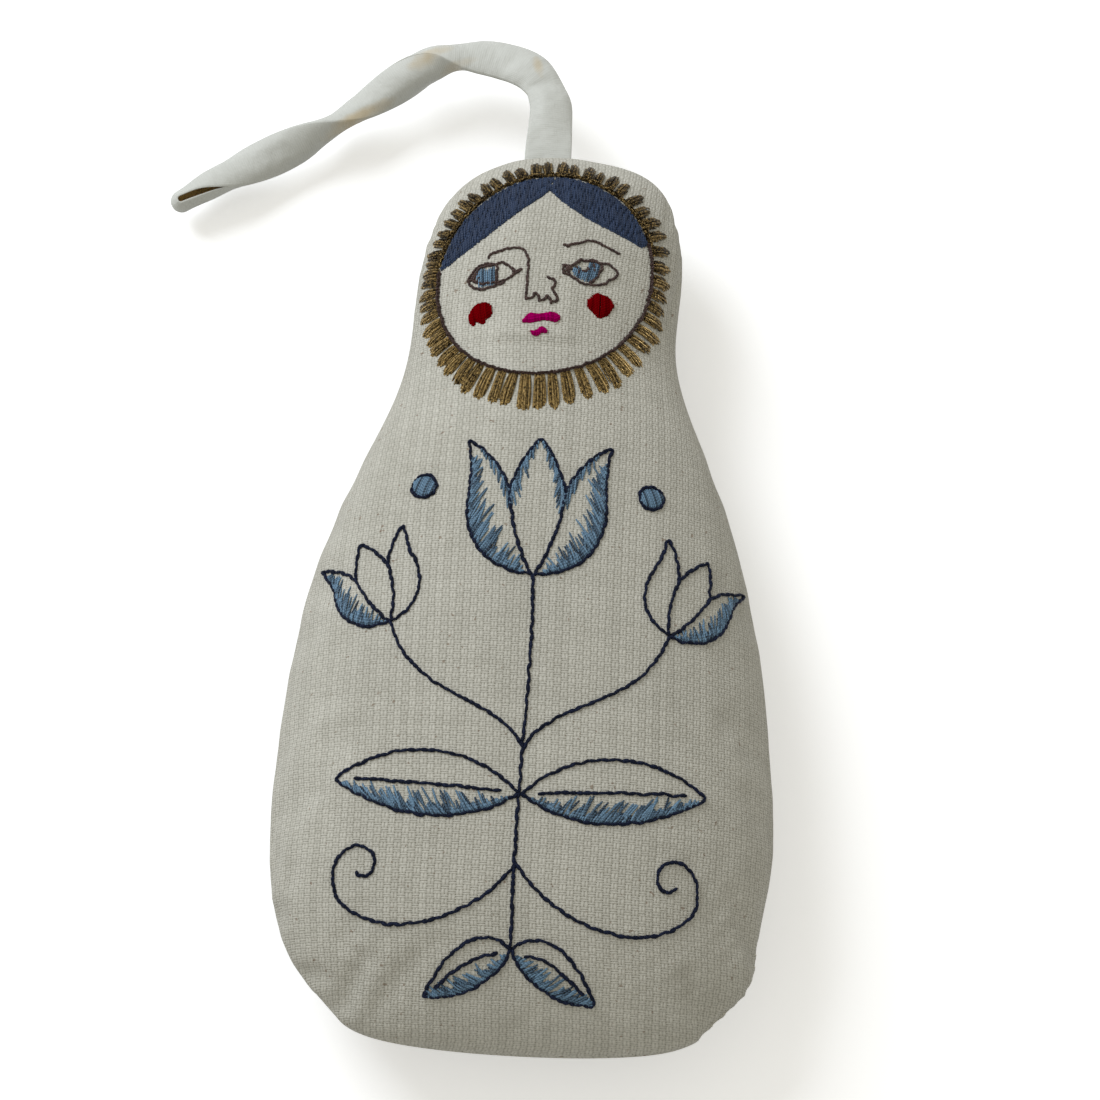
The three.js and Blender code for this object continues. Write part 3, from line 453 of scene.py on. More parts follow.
def settled_cover():
    """How the cover's points move when canvas cut a little large is filled: a cloth simulation on a
    coarse cover, ten times life size and held at the seam, as two tables of moves in millimetres."""
    turn = np.linspace(0, math.pi, SIM_ROWS + 1)
    share = -np.cos(np.linspace(0, math.pi, SIM_COLUMNS + 1))
    sheets = [cover_form(turn[:, None], share[None, :], side) for side in (1, -1)]
    spots = np.arange(sheets[0][..., 0].size).reshape(sheets[0].shape[:2])
    under = spots + spots.size
    for table in (spots, under):
        table[0], table[-1] = 0, spots.size - 1
        table[:, 0], table[:, -1] = spots[:, 0], spots[:, -1]
    points = np.concatenate([sheet.reshape(-1, 3) for sheet in sheets])
    seam = np.unique(np.concatenate((spots[:, 0], spots[:, -1])))
    points[seam, 2] = SEAM_Z
    formed = points[:, 2].copy()
    points[:, 2] = SEAM_Z + START_SHARE * (points[:, 2] - SEAM_Z)
    faces = []
    for table, way in ((spots, 1), (under, -1)):
        corners = table[:-1, :-1], table[:-1, 1:], table[1:, 1:], table[1:, :-1]
        quads = np.stack(corners, -1).reshape(-1, 4)[:, ::way]
        faces += [list(dict.fromkeys(quad)) for quad in quads.tolist()]
    faces = [face for face in faces if len(face) > 2]
    used, renamed = np.unique(np.concatenate((spots.ravel(), under.ravel())), return_inverse=True)
    order = dict(zip(used.tolist(), range(len(used))))
    faces = [[order[k] for k in face] for face in faces]
    start = points[used] * SIM_SCALE
    mesh = bpy.data.meshes.new("cover_before_filling")
    mesh.from_pydata(start.tolist(), [], faces)
    cover = put_in_scene("cover_before_filling", mesh)
    cover.vertex_groups.new(name="seam").add([order[k] for k in seam.tolist()], 1.0, "REPLACE")
    cover.shape_key_add(name="sewn")
    cut = cover.shape_key_add(name="cut")
    middle = start.mean(axis=0)
    cut.data.foreach_set("co", (middle + (start - middle) * (1.03, 1.022, 1.022)).ravel())
    modifier = cover.modifiers.new("cloth", "CLOTH")
    cloth = modifier.settings
    cloth.vertex_group_mass = "seam"
    cloth.rest_shape_key = cut
    cloth.quality = 8
    cloth.mass = 0.3
    cloth.tension_stiffness = cloth.compression_stiffness = 30
    cloth.shear_stiffness = 12
    cloth.bending_stiffness = 0.6
    cloth.use_pressure = True
    cloth.uniform_pressure_force = 4
    cloth.effector_weights.gravity = 0
    modifier.point_cache.frame_start, modifier.point_cache.frame_end = 1, SIM_FRAMES
    for frame_number in range(1, SIM_FRAMES + 1):
        bpy.context.scene.frame_set(frame_number)
    shaped = cover.evaluated_get(bpy.context.evaluated_depsgraph_get())
    final = np.empty(len(used) * 3, np.float32)
    shaped.data.vertices.foreach_get("co", final)
    bpy.context.scene.frame_set(1)
    bpy.data.objects.remove(cover)
    move = MOVE_SHARE * (final.reshape(-1, 3) - start) / SIM_SCALE
    move[:, 2] += MOVE_SHARE * (points[:, 2] - formed)[used]
    size = np.linalg.norm(move, axis=1, keepdims=True)
    move *= np.minimum(1, MOST_MOVE / np.maximum(size, 1e-9))
    moves = move[renamed.reshape(2, *spots.shape)]
    moves = moves * smooth_step(np.sin(turn), 0.08, 0.5)[:, None, None]
    fine = []
    for table in moves:
        down = spline(turn, table)(angles)
        fine.append(np.swapaxes(spline(np.linspace(0, 1, SIM_COLUMNS + 1), np.swapaxes(down, 0, 1))(
            np.linspace(0, 1, COLUMNS + 1)), 0, 1))
    return {1: fine[0], -1: fine[1]}


cover_lift = settled_cover()


def cover_points(side):
    points = cover_form(angles[:, None], shares[None, :], side) + cover_lift[side]
    points[..., 2] = np.maximum(points[..., 2], 0)
    return points


def panel_piece(name, side, node):
    points = cover_points(side)
    widths = np.linalg.norm(np.diff(points, axis=1), axis=2)
    across = np.concatenate((np.zeros((ROWS + 1, 1)), np.cumsum(widths, 1)), 1)
    across -= across[:, COLUMNS // 2:COLUMNS // 2 + 1]
    along = np.repeat(travelled(points[:, COLUMNS // 2])[:, None], COLUMNS + 1, 1)
    lay = np.stack((side * across, along), -1)
    faces = grid_faces(ROWS + 1, COLUMNS + 1)
    rim, rim_lay = (np.concatenate((table[:, -1], table[-2:0:-1, 0])) for table in (points, lay))
    ahead = unit((np.roll(rim, -1, 0) - np.roll(rim, 1, 0))[:, :2])
    inwards = np.stack((-ahead[:, 1], ahead[:, 0], np.zeros(len(rim))), 1)
    rings = []
    for inset, lip in TURN_IN[1:]:
        ring = rim + inwards * inset
        ring[:, 2] = SEAM_Z + (rim[:, 2] - SEAM_Z) * lip
        rings.append(ring)
    first = (ROWS + 1) * (COLUMNS + 1)
    everything = np.concatenate([points.reshape(-1, 3), rim] + rings)
    turned_lays = [rim_lay + 0.7 * k for k in range(len(TURN_IN))]
    lays = np.concatenate([lay.reshape(-1, 2)] + turned_lays)
    turned = grid_faces(len(TURN_IN), len(rim), closed=True, start=first)
    faces = np.concatenate((faces if side > 0 else faces[:, ::-1], turned if side < 0 else turned[:, ::-1]))
    uv = lays[faces.ravel()]
    piece = new_piece(name, everything, faces.tolist(), [canvas], "canvas", uv)
    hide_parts(node)
    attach(piece, "doll")


panel_piece("front_canvas", 1, "front_panel")
panel_piece("back_canvas", -1, "back_panel")

# EMBROIDERY BACKING
# A sheet of soft white non-woven behind the front panel, cut a little inside the seam. The stitches go
# through both and hold it stretched against the canvas.
behind = cover_points(1)[16:-15:2, 12:-11:2]
backing_normal = unit(np.cross(np.gradient(behind, axis=1), np.gradient(behind, axis=0)))
behind = behind - 0.95 * backing_normal
corners = behind[:-1, :-1], behind[:-1, 1:], behind[1:, 1:], behind[1:, :-1]
backing_area = np.linalg.norm(np.cross(corners[2] - corners[0], corners[3] - corners[1]), axis=-1).sum() / 2
backing_finish, backing_shader, wire = new_finish("backing_sheet", Roughness=0.95)
bonded = wire.place().noise(1800, 4, 0.7)
dimple = wire.node("TexVoronoi", {"feature": "SMOOTH_F1"}, {"Vector": wire.place(), "Scale": 700.0})
feed(backing_shader, Base_Color=bonded.blended(dyed(212, 212, 208), dyed(246, 246, 243)),
     Normal=(bonded * 0.5 + dimple).bumped(0.1))
backing = new_piece("backing_sheet", behind.reshape(-1, 3), grid_faces(*behind.shape[:2]).tolist(),
                    [backing_finish], "backing")
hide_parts("embroidery_backing")
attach(backing, "doll")

# EMBROIDERY STITCHES
# Machine stitches on the front panel. Each is its own raised strand of twisted thread between two needle
# holes, laid on the settled canvas.


def on_front(spots):
    """Points of the front canvas at places x, y, and the canvas's normals there."""
    def at(x, y):
        angle = angle_of(y)
        left, right = np.moveaxis(outline_at(angle)[..., :2], -1, 0)
        u = np.clip((x - (left + right) / 2) / ((right - left) / 2), -1, 1)
        row = np.clip(angle / math.pi * ROWS, 0, ROWS - 1e-6)
        column = np.clip(np.arccos(-u) / math.pi * COLUMNS, 0, COLUMNS - 1e-6)
        j, i = row.astype(int), column.astype(int)
        a, b = (row - j)[..., None], (column - i)[..., None]
        lift = cover_lift[1]
        moved = ((lift[j, i] * (1 - b) + lift[j, i + 1] * b) * (1 - a)
                 + (lift[j + 1, i] * (1 - b) + lift[j + 1, i + 1] * b) * a)
        return cover_form(angle, u, 1) + moved
    x, y = spots[..., 0], spots[..., 1]
    right = at(x + 0.3, y) - at(x - 0.3, y)
    up = at(x, y + 0.3) - at(x, y - 0.3)
    return at(x, y), unit(np.cross(right, up))


def strand_piece(name, node, material, groups, slot=None):
    """One piece of many strands. A group is the middle lines of its strands, the normals under them, and
    their width. A strand is thinner where it dives into the cloth at both ends. The slot, the material's
    name where none is given without the number that Blender puts after a name in use, is passed on but not
    used."""
    slot = slot or material.name.partition(".")[0]
    sides = 6
    angle = np.arange(sides) * 2 * math.pi / sides
    all_points, all_uv, all_faces = [], [], []
    first = strands = 0
    for centre, normal, width in groups:
        count, rings = centre.shape[:2]
        arch = np.sin(math.pi * np.linspace(0, 1, rings))
        along = unit(np.gradient(centre, axis=1))
        across = unit(np.cross(along, normal))
        taper = (0.8 + 0.2 * arch ** 0.5)[None, :, None, None]
        ring = (across[:, :, None] * np.cos(angle)[None, None, :, None]
                + normal[:, :, None] * 0.8 * np.sin(angle)[None, None, :, None])
        points = centre[:, :, None] + ring * taper * np.broadcast_to(width, count)[:, None, None, None] / 2
        tube = grid_faces(rings, sides, closed=True)
        firsts = first + np.arange(count)[:, None, None] * rings * sides
        all_faces.append((tube + firsts).reshape(-1, 4))
        all_points.append(points.reshape(-1, 3))
        run = np.cumsum(np.linalg.norm(np.diff(centre, axis=1), axis=2), 1)
        run = np.concatenate((np.zeros((count, 1)), run), 1)
        number = strands + np.arange(count)
        down, round_it = np.divmod(np.arange((rings - 1) * sides), sides)
        corners = []
        for dj, di in ((0, 0), (0, 1), (1, 1), (1, 0)):
            beside = number[:, None] + 0.05 + 0.9 * ((round_it + di) / sides)[None]
            corners.append(np.stack((run[:, down + dj], beside), -1))
        all_uv.append(np.stack(corners, 2).reshape(-1, 2))
        first += points.size // 3
        strands += count
    piece = new_piece(name, np.concatenate(all_points), np.concatenate(all_faces).tolist(), [material],
                      slot, np.concatenate(all_uv))
    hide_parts(node)
    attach(piece, "doll")


def stitched(node, material, runs, name=None, slot=None):
    """Strands laid on the front canvas. Each run is (starts, ends, width, rise, bow): needle holes, the
    width of the strand, how high its middle stands on the cloth, and how far it bows aside."""
    t = np.linspace(0, 1, 7)
    arch = np.sin(math.pi * t)[None, :, None]
    groups = []
    for starts, ends, width, rise, bow in runs:
        starts, ends = np.asarray(starts, float), np.asarray(ends, float)
        rise, bow = (np.broadcast_to(v, len(starts))[:, None, None] for v in (rise, bow))
        span = ends - starts
        aside = unit(np.stack((-span[:, 1], span[:, 0]), 1))
        spots = starts[:, None] + span[:, None] * t[None, :, None] + aside[:, None] * bow * arch
        ground, normal = on_front(spots)
        groups.append((ground + normal * (rise * arch ** 0.55 - 0.05), normal, width))
    strand_piece((name or node) + "_stitches", node, material, groups, slot)


def thread_finish(name, dark, light, pitch=0.5, depth=0.05, glint=0.0, spread=0.5, top_reflection_shade=0.0, **constants):
    """Lustrous two-ply thread: the ply's slant shows as a ridge, and no two strands are one tone. spread
    is how far their tones differ, and dull how much darker the thread is painted round the top of the head,
    painted shade standing for a darker reflection there."""
    material, shader, wire = new_finish(name, **{"Specular_IOR_Level": 0.22, **constants})
    lay, place = wire.lay(), wire.place()
    beside = lay.part(1)
    strand = beside.of("FLOOR")
    ply = (lay.part(0) * (2 * math.pi / pitch) + (beside - strand) * (4 * math.pi)).of("SINE") * 0.5 + 0.5
    fuzz = place.noise(2600, 2)
    # The ply's crests are painted lighter and its grooves darker, painted highlight and shade; the strands'
    # tones and the fuzz differ at random.
    share = 0.36 * ply + spread * (strand + 0.5).dice() + 0.34 * fuzz + 0.17 - 0.5 * spread
    share = share + glint * (fuzz - 0.5)
    # Painted shade round the top of the head, standing for a darker reflection there.
    if top_reflection_shade:
        share = share - top_reflection_shade * ((place.part(1) - 0.038) / 0.024).clamped()
    feed(shader, Base_Color=share.clamped().blended(dark, light), Normal=(ply + 0.4 * fuzz).bumped(depth))
    return material


def drawn(start, *curves, step=0.4):
    """Points along cubic curves, each given as two handles and an end."""
    line = [np.array([start], float)]
    for values in curves:
        a, b, c, d = line[-1][-1], *np.array(values, float).reshape(3, 2)
        length = sum(float(np.linalg.norm(leg)) for leg in (b - a, c - b, d - c))
        count = max(2, round(length / step))
        t = np.linspace(0, 1, count + 1)[1:, None]
        line.append((1 - t) ** 3 * a + 3 * t * (1 - t) ** 2 * b + 3 * t * t * (1 - t) * c + t ** 3 * d)
    return np.concatenate(line)


def smoothed(points, closed=False):
    """A smooth line through a few points, given as x, y, x, y and so on."""
    points = np.array(points, float).reshape(-1, 2)
    if closed:
        points = np.concatenate((points, points[:1]))
    chord = np.concatenate(([0], np.cumsum(np.linalg.norm(np.diff(points, axis=0), axis=1) ** 0.5)))
    return spline(chord, points)(np.linspace(0, chord[-1], 12 * len(points)))


chance = np.random.default_rng(17)


def needle_holes(line, stitch):
    """Needle holes along a line, about a stitch apart and closer together where it bends."""
    line = np.asarray(line, float)
    step = np.diff(line, axis=0)
    effort = np.linalg.norm(step, axis=1)
    turn = np.abs(np.diff(np.unwrap(np.arctan2(step[:, 1], step[:, 0]))))
    effort[1:] += 1.3 * np.minimum(turn, 0.5)
    run = np.concatenate(([0], np.cumsum(effort)))
    count = max(1, round(run[-1] / stitch))
    places = np.linspace(0, run[-1], count + 1)
    places[1:-1] += chance.uniform(-0.12, 0.12, count - 1) * stitch
    return spots_at(places, run, line)


def bean_run(line, stitch=1.2, width=0.38, rise=0.3, bow=0.15):
    """A line sewn three times over: two strands side by side from hole to hole, and one on top."""
    holes = needle_holes(line, stitch)
    ahead = unit(np.gradient(holes, axis=0))
    zigzag = np.where(np.arange(len(holes)) % 2, 1, -1)[:, None] * np.stack((-ahead[:, 1], ahead[:, 0]), 1)
    holes = holes + 0.3 * width * zigzag + chance.normal(0, 0.08, holes.shape)
    starts, ends = holes[:-1] - 0.3 * width * ahead[:-1], holes[1:] + 0.3 * width * ahead[1:]
    tilt = chance.uniform(0.4, 1.4, len(starts)) * bow
    top = (starts + chance.normal(0, 0.05, starts.shape), ends + chance.normal(0, 0.05, ends.shape))
    return [(starts, ends, width, rise * 0.75, tilt), (starts, ends, width, rise * 0.75, -tilt),
            (*top, width, rise * 1.25, chance.uniform(-0.4, 0.4, len(starts)) * bow)]


def bean_runs(lines, *how):
    """The runs of several lines, all sewn the same way."""
    return sum((bean_run(line, *how) for line in lines), [])


def turning(degrees):
    """A turn in the plane, as a table to multiply places by."""
    a = math.radians(degrees)
    return np.array(((math.cos(a), -math.sin(a)), (math.sin(a), math.cos(a))))


def rows_inside(outline, pitch, heading=0.0, ragged=0.0, skip=0.0):
    """Straight runs of thread inside a closed outline, a pitch apart. heading is in degrees from +Y,
    ragged moves the ends, and skip is the share of runs left out."""
    turn = turning(heading)
    shape = np.asarray(outline, float).reshape(-1, 2) @ turn
    after = np.roll(shape, -1, 0)
    starts, ends = [], []
    x = shape[:, 0].min() + pitch * 0.5
    while x < shape[:, 0].max():
        crosses = (shape[:, 0] > x) != (after[:, 0] > x)
        a, b = shape[crosses], after[crosses]
        heights = np.sort(a[:, 1] + (x - a[:, 0]) / (b[:, 0] - a[:, 0]) * (b[:, 1] - a[:, 1]))
        for low, high in heights.reshape(-1, 2):
            low, high = low + chance.uniform(-ragged, ragged), high + chance.uniform(-ragged, ragged)
            if high - low > 0.3 and chance.random() >= skip:
                slip = chance.uniform(-0.12, 0.12, 2) * pitch
                starts.append((x + slip[0], low))
                ends.append((x + slip[1], high))
        x += pitch
    return np.array(starts) @ turn.T, np.array(ends) @ turn.T


def brick_split(starts, ends, length):
    """Long runs cut into stitches of about that length, each row's holes set off from the next row's."""
    first, last = [], []
    for a, b in zip(starts, ends):
        reach = np.linalg.norm(b - a)
        cuts = np.arange(length * chance.random(), reach, length)
        cuts = np.concatenate(([0], cuts[(cuts > 0.5) & (cuts < reach - 0.5)], [reach])) / max(reach, 1e-9)
        for low, high in zip(cuts[:-1], cuts[1:]):
            first.append(a + (b - a) * low)
            last.append(a + (b - a) * high)
    return np.array(first), np.array(last)


# FACE, HAIR AND GOLD FRINGE
# The face's line in fine brown thread, dark navy hair in flat fill, and round them a fringe of short bars
# in metallic thread, longer below the chin.
FACE = dict(x=-1.5, y=54.2, rx=18.3, ry=20.2, lean=-30)


def on_face(degrees, outside=0.0):
    """A place on the face's oval, or outside it. Degrees run anticlockwise from the viewer's right."""
    lean = math.radians(FACE["lean"])
    a = np.radians(degrees) - lean
    x, y = (FACE["rx"] + outside) * np.cos(a), (FACE["ry"] + outside) * np.sin(a)
    return np.stack((FACE["x"] + x * math.cos(lean) - y * math.sin(lean),
                     FACE["y"] + x * math.sin(lean) + y * math.cos(lean)), -1)


brown_thread = thread_finish("brown_thread", dyed(30, 20, 20), dyed(86, 66, 60), Roughness=0.5)
hair_thread = thread_finish("navy_thread", dyed(17, 27, 45), dyed(46, 63, 93), Roughness=0.5)
# Its last number paints the gold darker round the top of the head, standing for a darker reflection there.
gold_thread = thread_finish("gold_thread", dyed(26, 16, 0), dyed(190, 160, 102), 0.3, 0.16, 2.2, 0.5, 0.4,
                            Roughness=0.3, Metallic=0.7)
swing = np.linspace(174, 382, 420)
face_line = bean_run(on_face(swing, 0.18 + 0.22 * np.sin(swing * 2.9)), 0.95, 0.3, 0.46, 0.13)
stitched("face_outline", brown_thread, face_line, "face_line")

HAIR_LEFT = (-1.4, 70.9, -3.3, 68.9, -7.8, 64.9, -12.9, 60.6, -18.4, 56.5)
HAIR_RIGHT = (-1.5, 70.9, 1.0, 68.3, 5.6, 65.2, 10.6, 63.0, 15.4, 61.2)
for side, edge, arc_degrees in (("left", HAIR_LEFT, (90.5, 174)), ("right", HAIR_RIGHT, (89.5, 21))):
    rim = on_face(np.linspace(*arc_degrees, 40), 0.05)
    shape = np.concatenate((smoothed(edge), rim[::-1]))
    starts, ends = brick_split(*rows_inside(shape, 0.3, 0, 0.14), 3.6)
    under_starts, under_ends = rows_inside(shape, 0.6, 68, 0.05)
    layers = [(under_starts, under_ends, 0.5, 0.02, 0.0), (starts, ends, 0.4, 0.3, 0.0)]
    stitched("hair_" + side, hair_thread, layers, slot="hair_thread")

TEETH = 54
STRANDS_ACROSS = (-0.5, -0.26, 0, 0.26, 0.5, -0.38, -0.12, 0.14, 0.4)  # five below, then four on top
STRAND_RISES = (0.26, 0.34, 0.38, 0.34, 0.26, 0.46, 0.58, 0.58, 0.46)
tooth_starts, tooth_ends = [], []
pitch = 360 / TEETH
middle = 0.3 * pitch
while middle < 360 - 0.4 * pitch:
    close = 1 - 0.15 * hump(middle, 140, 32) + 0.14 * math.cos(math.radians(middle)) ** 9
    low = math.sin(math.radians(middle))
    length = 3.2 + low * low * ((6.5 if low < 0 else 3.7) - 3.2) + chance.uniform(-0.4, 0.4)
    sway = chance.uniform(-1.2, 1.2)
    width = chance.uniform(3.7, 4.8) * close + 1.2 * hump(middle, 205, 28) + 0.5 * smooth_step(low, 0, 0.6)
    round_end = 1.2 + 0.9 * smooth_step(low, -0.5, 0.3)
    for strand in STRANDS_ACROSS:
        root = middle + strand * width * 0.95
        tip = middle + sway + strand * width
        short = strand * strand * 4 * round_end * chance.uniform(0.3, 1.0) + chance.uniform(-0.25, 0.25)
        tooth_starts.append(on_face(root, 0.3 + chance.uniform(-0.15, 0.15)))
        tooth_ends.append(on_face(tip, 0.65 + length - short))
    middle += (1 + chance.uniform(-0.1, 0.1)) * close * pitch
tooth_starts, tooth_ends = np.array(tooth_starts), np.array(tooth_ends)
strands = len(tooth_starts)
rim_runs = bean_runs([on_face(np.linspace(16, 172, 240), outside) for outside in (0.35, 0.75)],
                     1.0, 0.34, 0.42, 0.1)
teeth = (tooth_starts, tooth_ends, chance.uniform(0.32, 0.46, strands),
         np.tile(STRAND_RISES, strands // len(STRAND_RISES)), chance.uniform(-0.12, 0.12, strands))
stitched("gold_fringe", gold_thread, [teeth] + rim_runs)

# BROWS, EYES AND NOSE
# Thin single lines of brown thread. One run makes the left brow and the nose. The eyes' colour is a few
# loose stitches of the blue thread.
BROW_AND_NOSE = (
    (-11.6, 56.7, -11.1, 57.6, -10.2, 57.9, -9.0, 58.1, -8.1, 58.4, -7.1, 58.5, -6.2, 58.5, -5.4, 58.0,
     -4.8, 57.4, -4.5, 56.3, -4.4, 55.2, -4.4, 53.9, -4.4, 52.6, -4.4, 51.3, -4.4, 50.0, -4.5, 48.5),
    (-4.5, 48.5, -3.6, 48.6, -3.15, 48.9, -3.0, 49.6, -2.7, 49.5, -2.4, 48.9, -2.1, 48.0),
    (-2.3, 48.3, -1.5, 48.4, -1.0, 48.8, -0.95, 49.2, -0.65, 49.1, -0.4, 48.6, 0, 47.7),
    (-0.2, 48.1, 0.5, 48.1, 1.0, 48.5, 1.05, 48.8, 0.75, 49.4, 0.2, 50.0, 0.1, 50.6, 0.4, 51.4, 0.3, 52.2,
     -0.1, 52.6, -0.9, 52.8))
RIGHT_BROW = (1.5, 59.4, 2.1, 59.2, 3.3, 59.7, 4.4, 60.0, 5.4, 60.6, 6.6, 60.8, 7.8, 60.6, 8.9, 60.1,
              10.1, 59.6, 10.9, 59.2, 11.6, 59.0)
LEFT_EYE = (
    (-14.9, 52.8, -14.4, 53.8, -13.5, 54.9, -12.3, 55.5, -10.9, 55.6, -10.0, 55.5, -9.3, 55.7, -8.3, 55.2,
     -7.4, 54.6, -6.5, 53.9, -5.5, 54.2),
    (-14.9, 52.8, -13.8, 52.3, -12.6, 51.9, -11.4, 51.8, -10.2, 51.8, -9.1, 52.0, -7.9, 52.5, -6.9, 53.1,
     -6.2, 53.7, -5.5, 54.2),
    (-14.9, 52.8, -14.7, 52.1, -14.0, 51.3, -13.1, 50.8, -12.4, 50.6, -11.4, 51.0, -10.2, 51.0,
     -9.3, 51.3, -8.2, 51.8),
    (-10.0, 55.4, -9.8, 54.0, -9.8, 52.8, -9.9, 51.9), (-13.5, 54.6, -12.3, 55.2, -10.2, 55.2),
    (-14.4, 52.7, -13.7, 54.2), (-14.0, 52.4, -13.2, 54.6), (-13.4, 52.3, -12.9, 53.4),
    (-7.0, 54.3, -6.9, 53.1), (-6.5, 53.9, -6.3, 53.5))
RIGHT_EYE = (
    (1.6, 55.0, 2.2, 55.4, 3.0, 55.4, 3.9, 56.0, 4.7, 56.7, 5.8, 56.7, 6.7, 57.1, 7.5, 56.8, 8.5, 56.7,
     9.3, 56.8, 10.1, 56.5, 10.9, 56.0, 11.3, 55.2),
    (11.3, 55.2, 10.8, 54.3, 10.0, 53.7, 9.2, 53.1, 8.4, 52.6, 7.5, 52.3, 6.6, 52.2, 5.6, 52.2, 4.6, 52.5,
     3.6, 53.1, 2.7, 53.6, 2.0, 53.8, 1.7, 54.7),
    (7.9, 56.7, 8.5, 55.6, 8.1, 54.8, 7.8, 53.9, 7.0, 53.0, 6.4, 52.6), (5.6, 56.6, 6.6, 56.9, 7.7, 56.6),
    (2.1, 55.3, 2.9, 54.0), (2.6, 55.3, 3.3, 54.6), (1.6, 55.5, 2.7, 54.6), (2.0, 54.3, 3.1, 55.1),
    (3.2, 55.4, 4.6, 56.5), (4.0, 55.4, 4.5, 54.0), (6.0, 55.6, 5.9, 54.8, 4.9, 54.7),
    (7.0, 56.3, 7.3, 54.9))

for node, lines in (("left_brow_and_nose", BROW_AND_NOSE), ("right_brow", (RIGHT_BROW,)),
                    ("left_eye_outline", LEFT_EYE), ("right_eye_outline", RIGHT_EYE)):
    stitched(node, brown_thread, bean_runs([smoothed(line) for line in lines], 0.8, 0.34, 0.24, 0.1),
             node.removesuffix("_outline"))

blue_thread = thread_finish("blue_thread", dyed(5, 16, 32), dyed(112, 144, 170), spread=0.9, Roughness=0.5)
LEFT_IRIS = (-13.4, 54.3, -12.7, 55.0, -12.1, 54.9, -11.9, 54.4, -11.2, 54.9, -10.2, 55.2, -10.0, 54.1,
             -10.0, 52.6, -10.2, 51.2, -11.4, 51.2, -13.0, 51.0, -13.5, 53.0)
RIGHT_IRIS = (3.3, 54.4, 3.8, 55.5, 4.3, 55.6, 4.7, 55.2, 4.9, 54.8, 5.7, 54.9, 6.0, 55.7, 5.9, 56.5,
              6.8, 56.9, 7.9, 56.7, 8.3, 55.6, 7.9, 54.6, 7.6, 53.6, 6.5, 52.7, 5.1, 52.8, 3.9, 53.3)
for side, shape, heading in (("left", LEFT_IRIS, 4), ("right", RIGHT_IRIS, -12)):
    starts, ends = rows_inside(shape, 0.34, heading, 0.15)
    stitched(side + "_iris", blue_thread, [(starts, ends, 0.34, 0.2, 0.0)])

# CHEEKS AND LIPS
# Satin stitch: strands laid side by side, each the whole height of the shape, red on the cheeks and
# bright pink on the lips.
red_thread = thread_finish("red_thread", dyed(70, 0, 3), dyed(128, 1, 9), Roughness=0.7,
                           Specular_IOR_Level=0.0)
pink_thread = thread_finish("pink_thread", dyed(112, 0, 56), dyed(178, 0, 104), Roughness=0.7,
                            Specular_IOR_Level=0.0)
LEFT_CHEEK = (-14.4, 46.6, -14.0, 47.7, -13.1, 48.5, -11.8, 48.7, -10.8, 48.3, -10.3, 47.2, -10.5, 45.8,
              -11.2, 45.3, -11.5, 44.5, -12.3, 44.6, -13.0, 45.0, -13.3, 44.3, -13.9, 44.5, -14.3, 45.6)
RIGHT_CHEEK = (6.2, 49.8, 6.9, 50.6, 7.8, 51.4, 8.6, 51.3, 9.7, 51.1, 10.4, 50.6, 10.8, 49.5, 10.5, 48.4,
               9.9, 47.4, 8.3, 46.7, 7.3, 47.5, 6.4, 48.3)
CHEEK_GROOVE_X = 8.35
UPPER_LIP = (-5.1, 44.4, -4.4, 45.5, -3.6, 46.3, -2.1, 46.2, -0.9, 46.5, 0.8, 46.6, 1.5, 46.0, 1.6, 45.5,
             1.2, 44.8, 0.1, 44.8, -1.1, 44.9, -2.6, 44.5, -4.0, 44.3, -4.9, 44.3)
LOWER_LIP = (-3.3, 42.8, -2.3, 43.1, -1.5, 43.8, -0.8, 43.5, -0.3, 42.5, -1.3, 42.4, -1.9, 41.9, -2.8, 41.9)
for node, shape, material, heading in (
        ("left_cheek", LEFT_CHEEK, red_thread, 8), ("right_cheek", RIGHT_CHEEK, red_thread, 0),
        ("upper_lip", UPPER_LIP, pink_thread, 6), ("lower_lip", LOWER_LIP, pink_thread, -8)):
    starts, ends = rows_inside(smoothed(shape, closed=True) - (0, 0.5), 0.26, heading, 0.06)
    # One strand in the middle of the right cheek lies deeper than the rest.
    rise = np.where(np.abs((starts[:, 0] + ends[:, 0]) / 2 - CHEEK_GROOVE_X) < 0.16, 0.05, 0.42)
    stitched(node, material, [(starts, ends, 0.36, rise, 0.0)])

# FOLK SPRAY ON THE BODY
# A stem with three tulips, leaves, tendrils and berries, the same on both sides. Dark outlines are sewn
# over blue shading.
DESIGN_X = -0.4
outline_thread = thread_finish("outline_thread", dyed(1, 3, 10), dyed(27, 35, 60), Roughness=0.6,
                               Specular_IOR_Level=0.1)


def placed(line, sign=1):
    return np.asarray(line, float) * (sign, 1) + (DESIGN_X, 0)


def both_halves(half):
    return np.concatenate((half, half[-2:0:-1] * (-1, 1)))


def stood(line, at, height, lean):
    return np.array(at) + height * (line @ turning(-lean))


def closed_line(line):
    return np.concatenate((line, line[:1]))


def hatched(edge, heading, depth, pitch=0.34):
    """Shading sewn from an outline's edge inwards: short strands at one slant, long in the middle of the
    run and short at its ends, with jagged tips. heading is in degrees from +Y, to the left."""
    run = travelled(edge)
    places = np.arange(pitch, run[-1], pitch)
    places = places + chance.uniform(-0.3, 0.3, len(places)) * pitch
    starts = spots_at(places, run, edge)
    lean = np.radians(heading + chance.normal(0, 7, len(places)))
    jagged = chance.choice((0.45, 0.7, 0.9, 1.0), len(places))
    length = depth * np.sin(math.pi * places / run[-1]).clip(0) ** 0.6 * jagged
    length = np.maximum(length * chance.uniform(0.85, 1.1, len(places)), 0.7)
    ends = starts + length[:, None] * np.stack((-np.sin(lean), np.cos(lean)), 1)
    return [(starts, ends, 0.37, 0.26, chance.uniform(-0.1, 0.1, len(places)))]


def part_of(line, start, end):
    """The stretch of a line between two shares of its length."""
    run = travelled(line)
    return spots_at(np.linspace(start * run[-1], end * run[-1], 60), run, line)


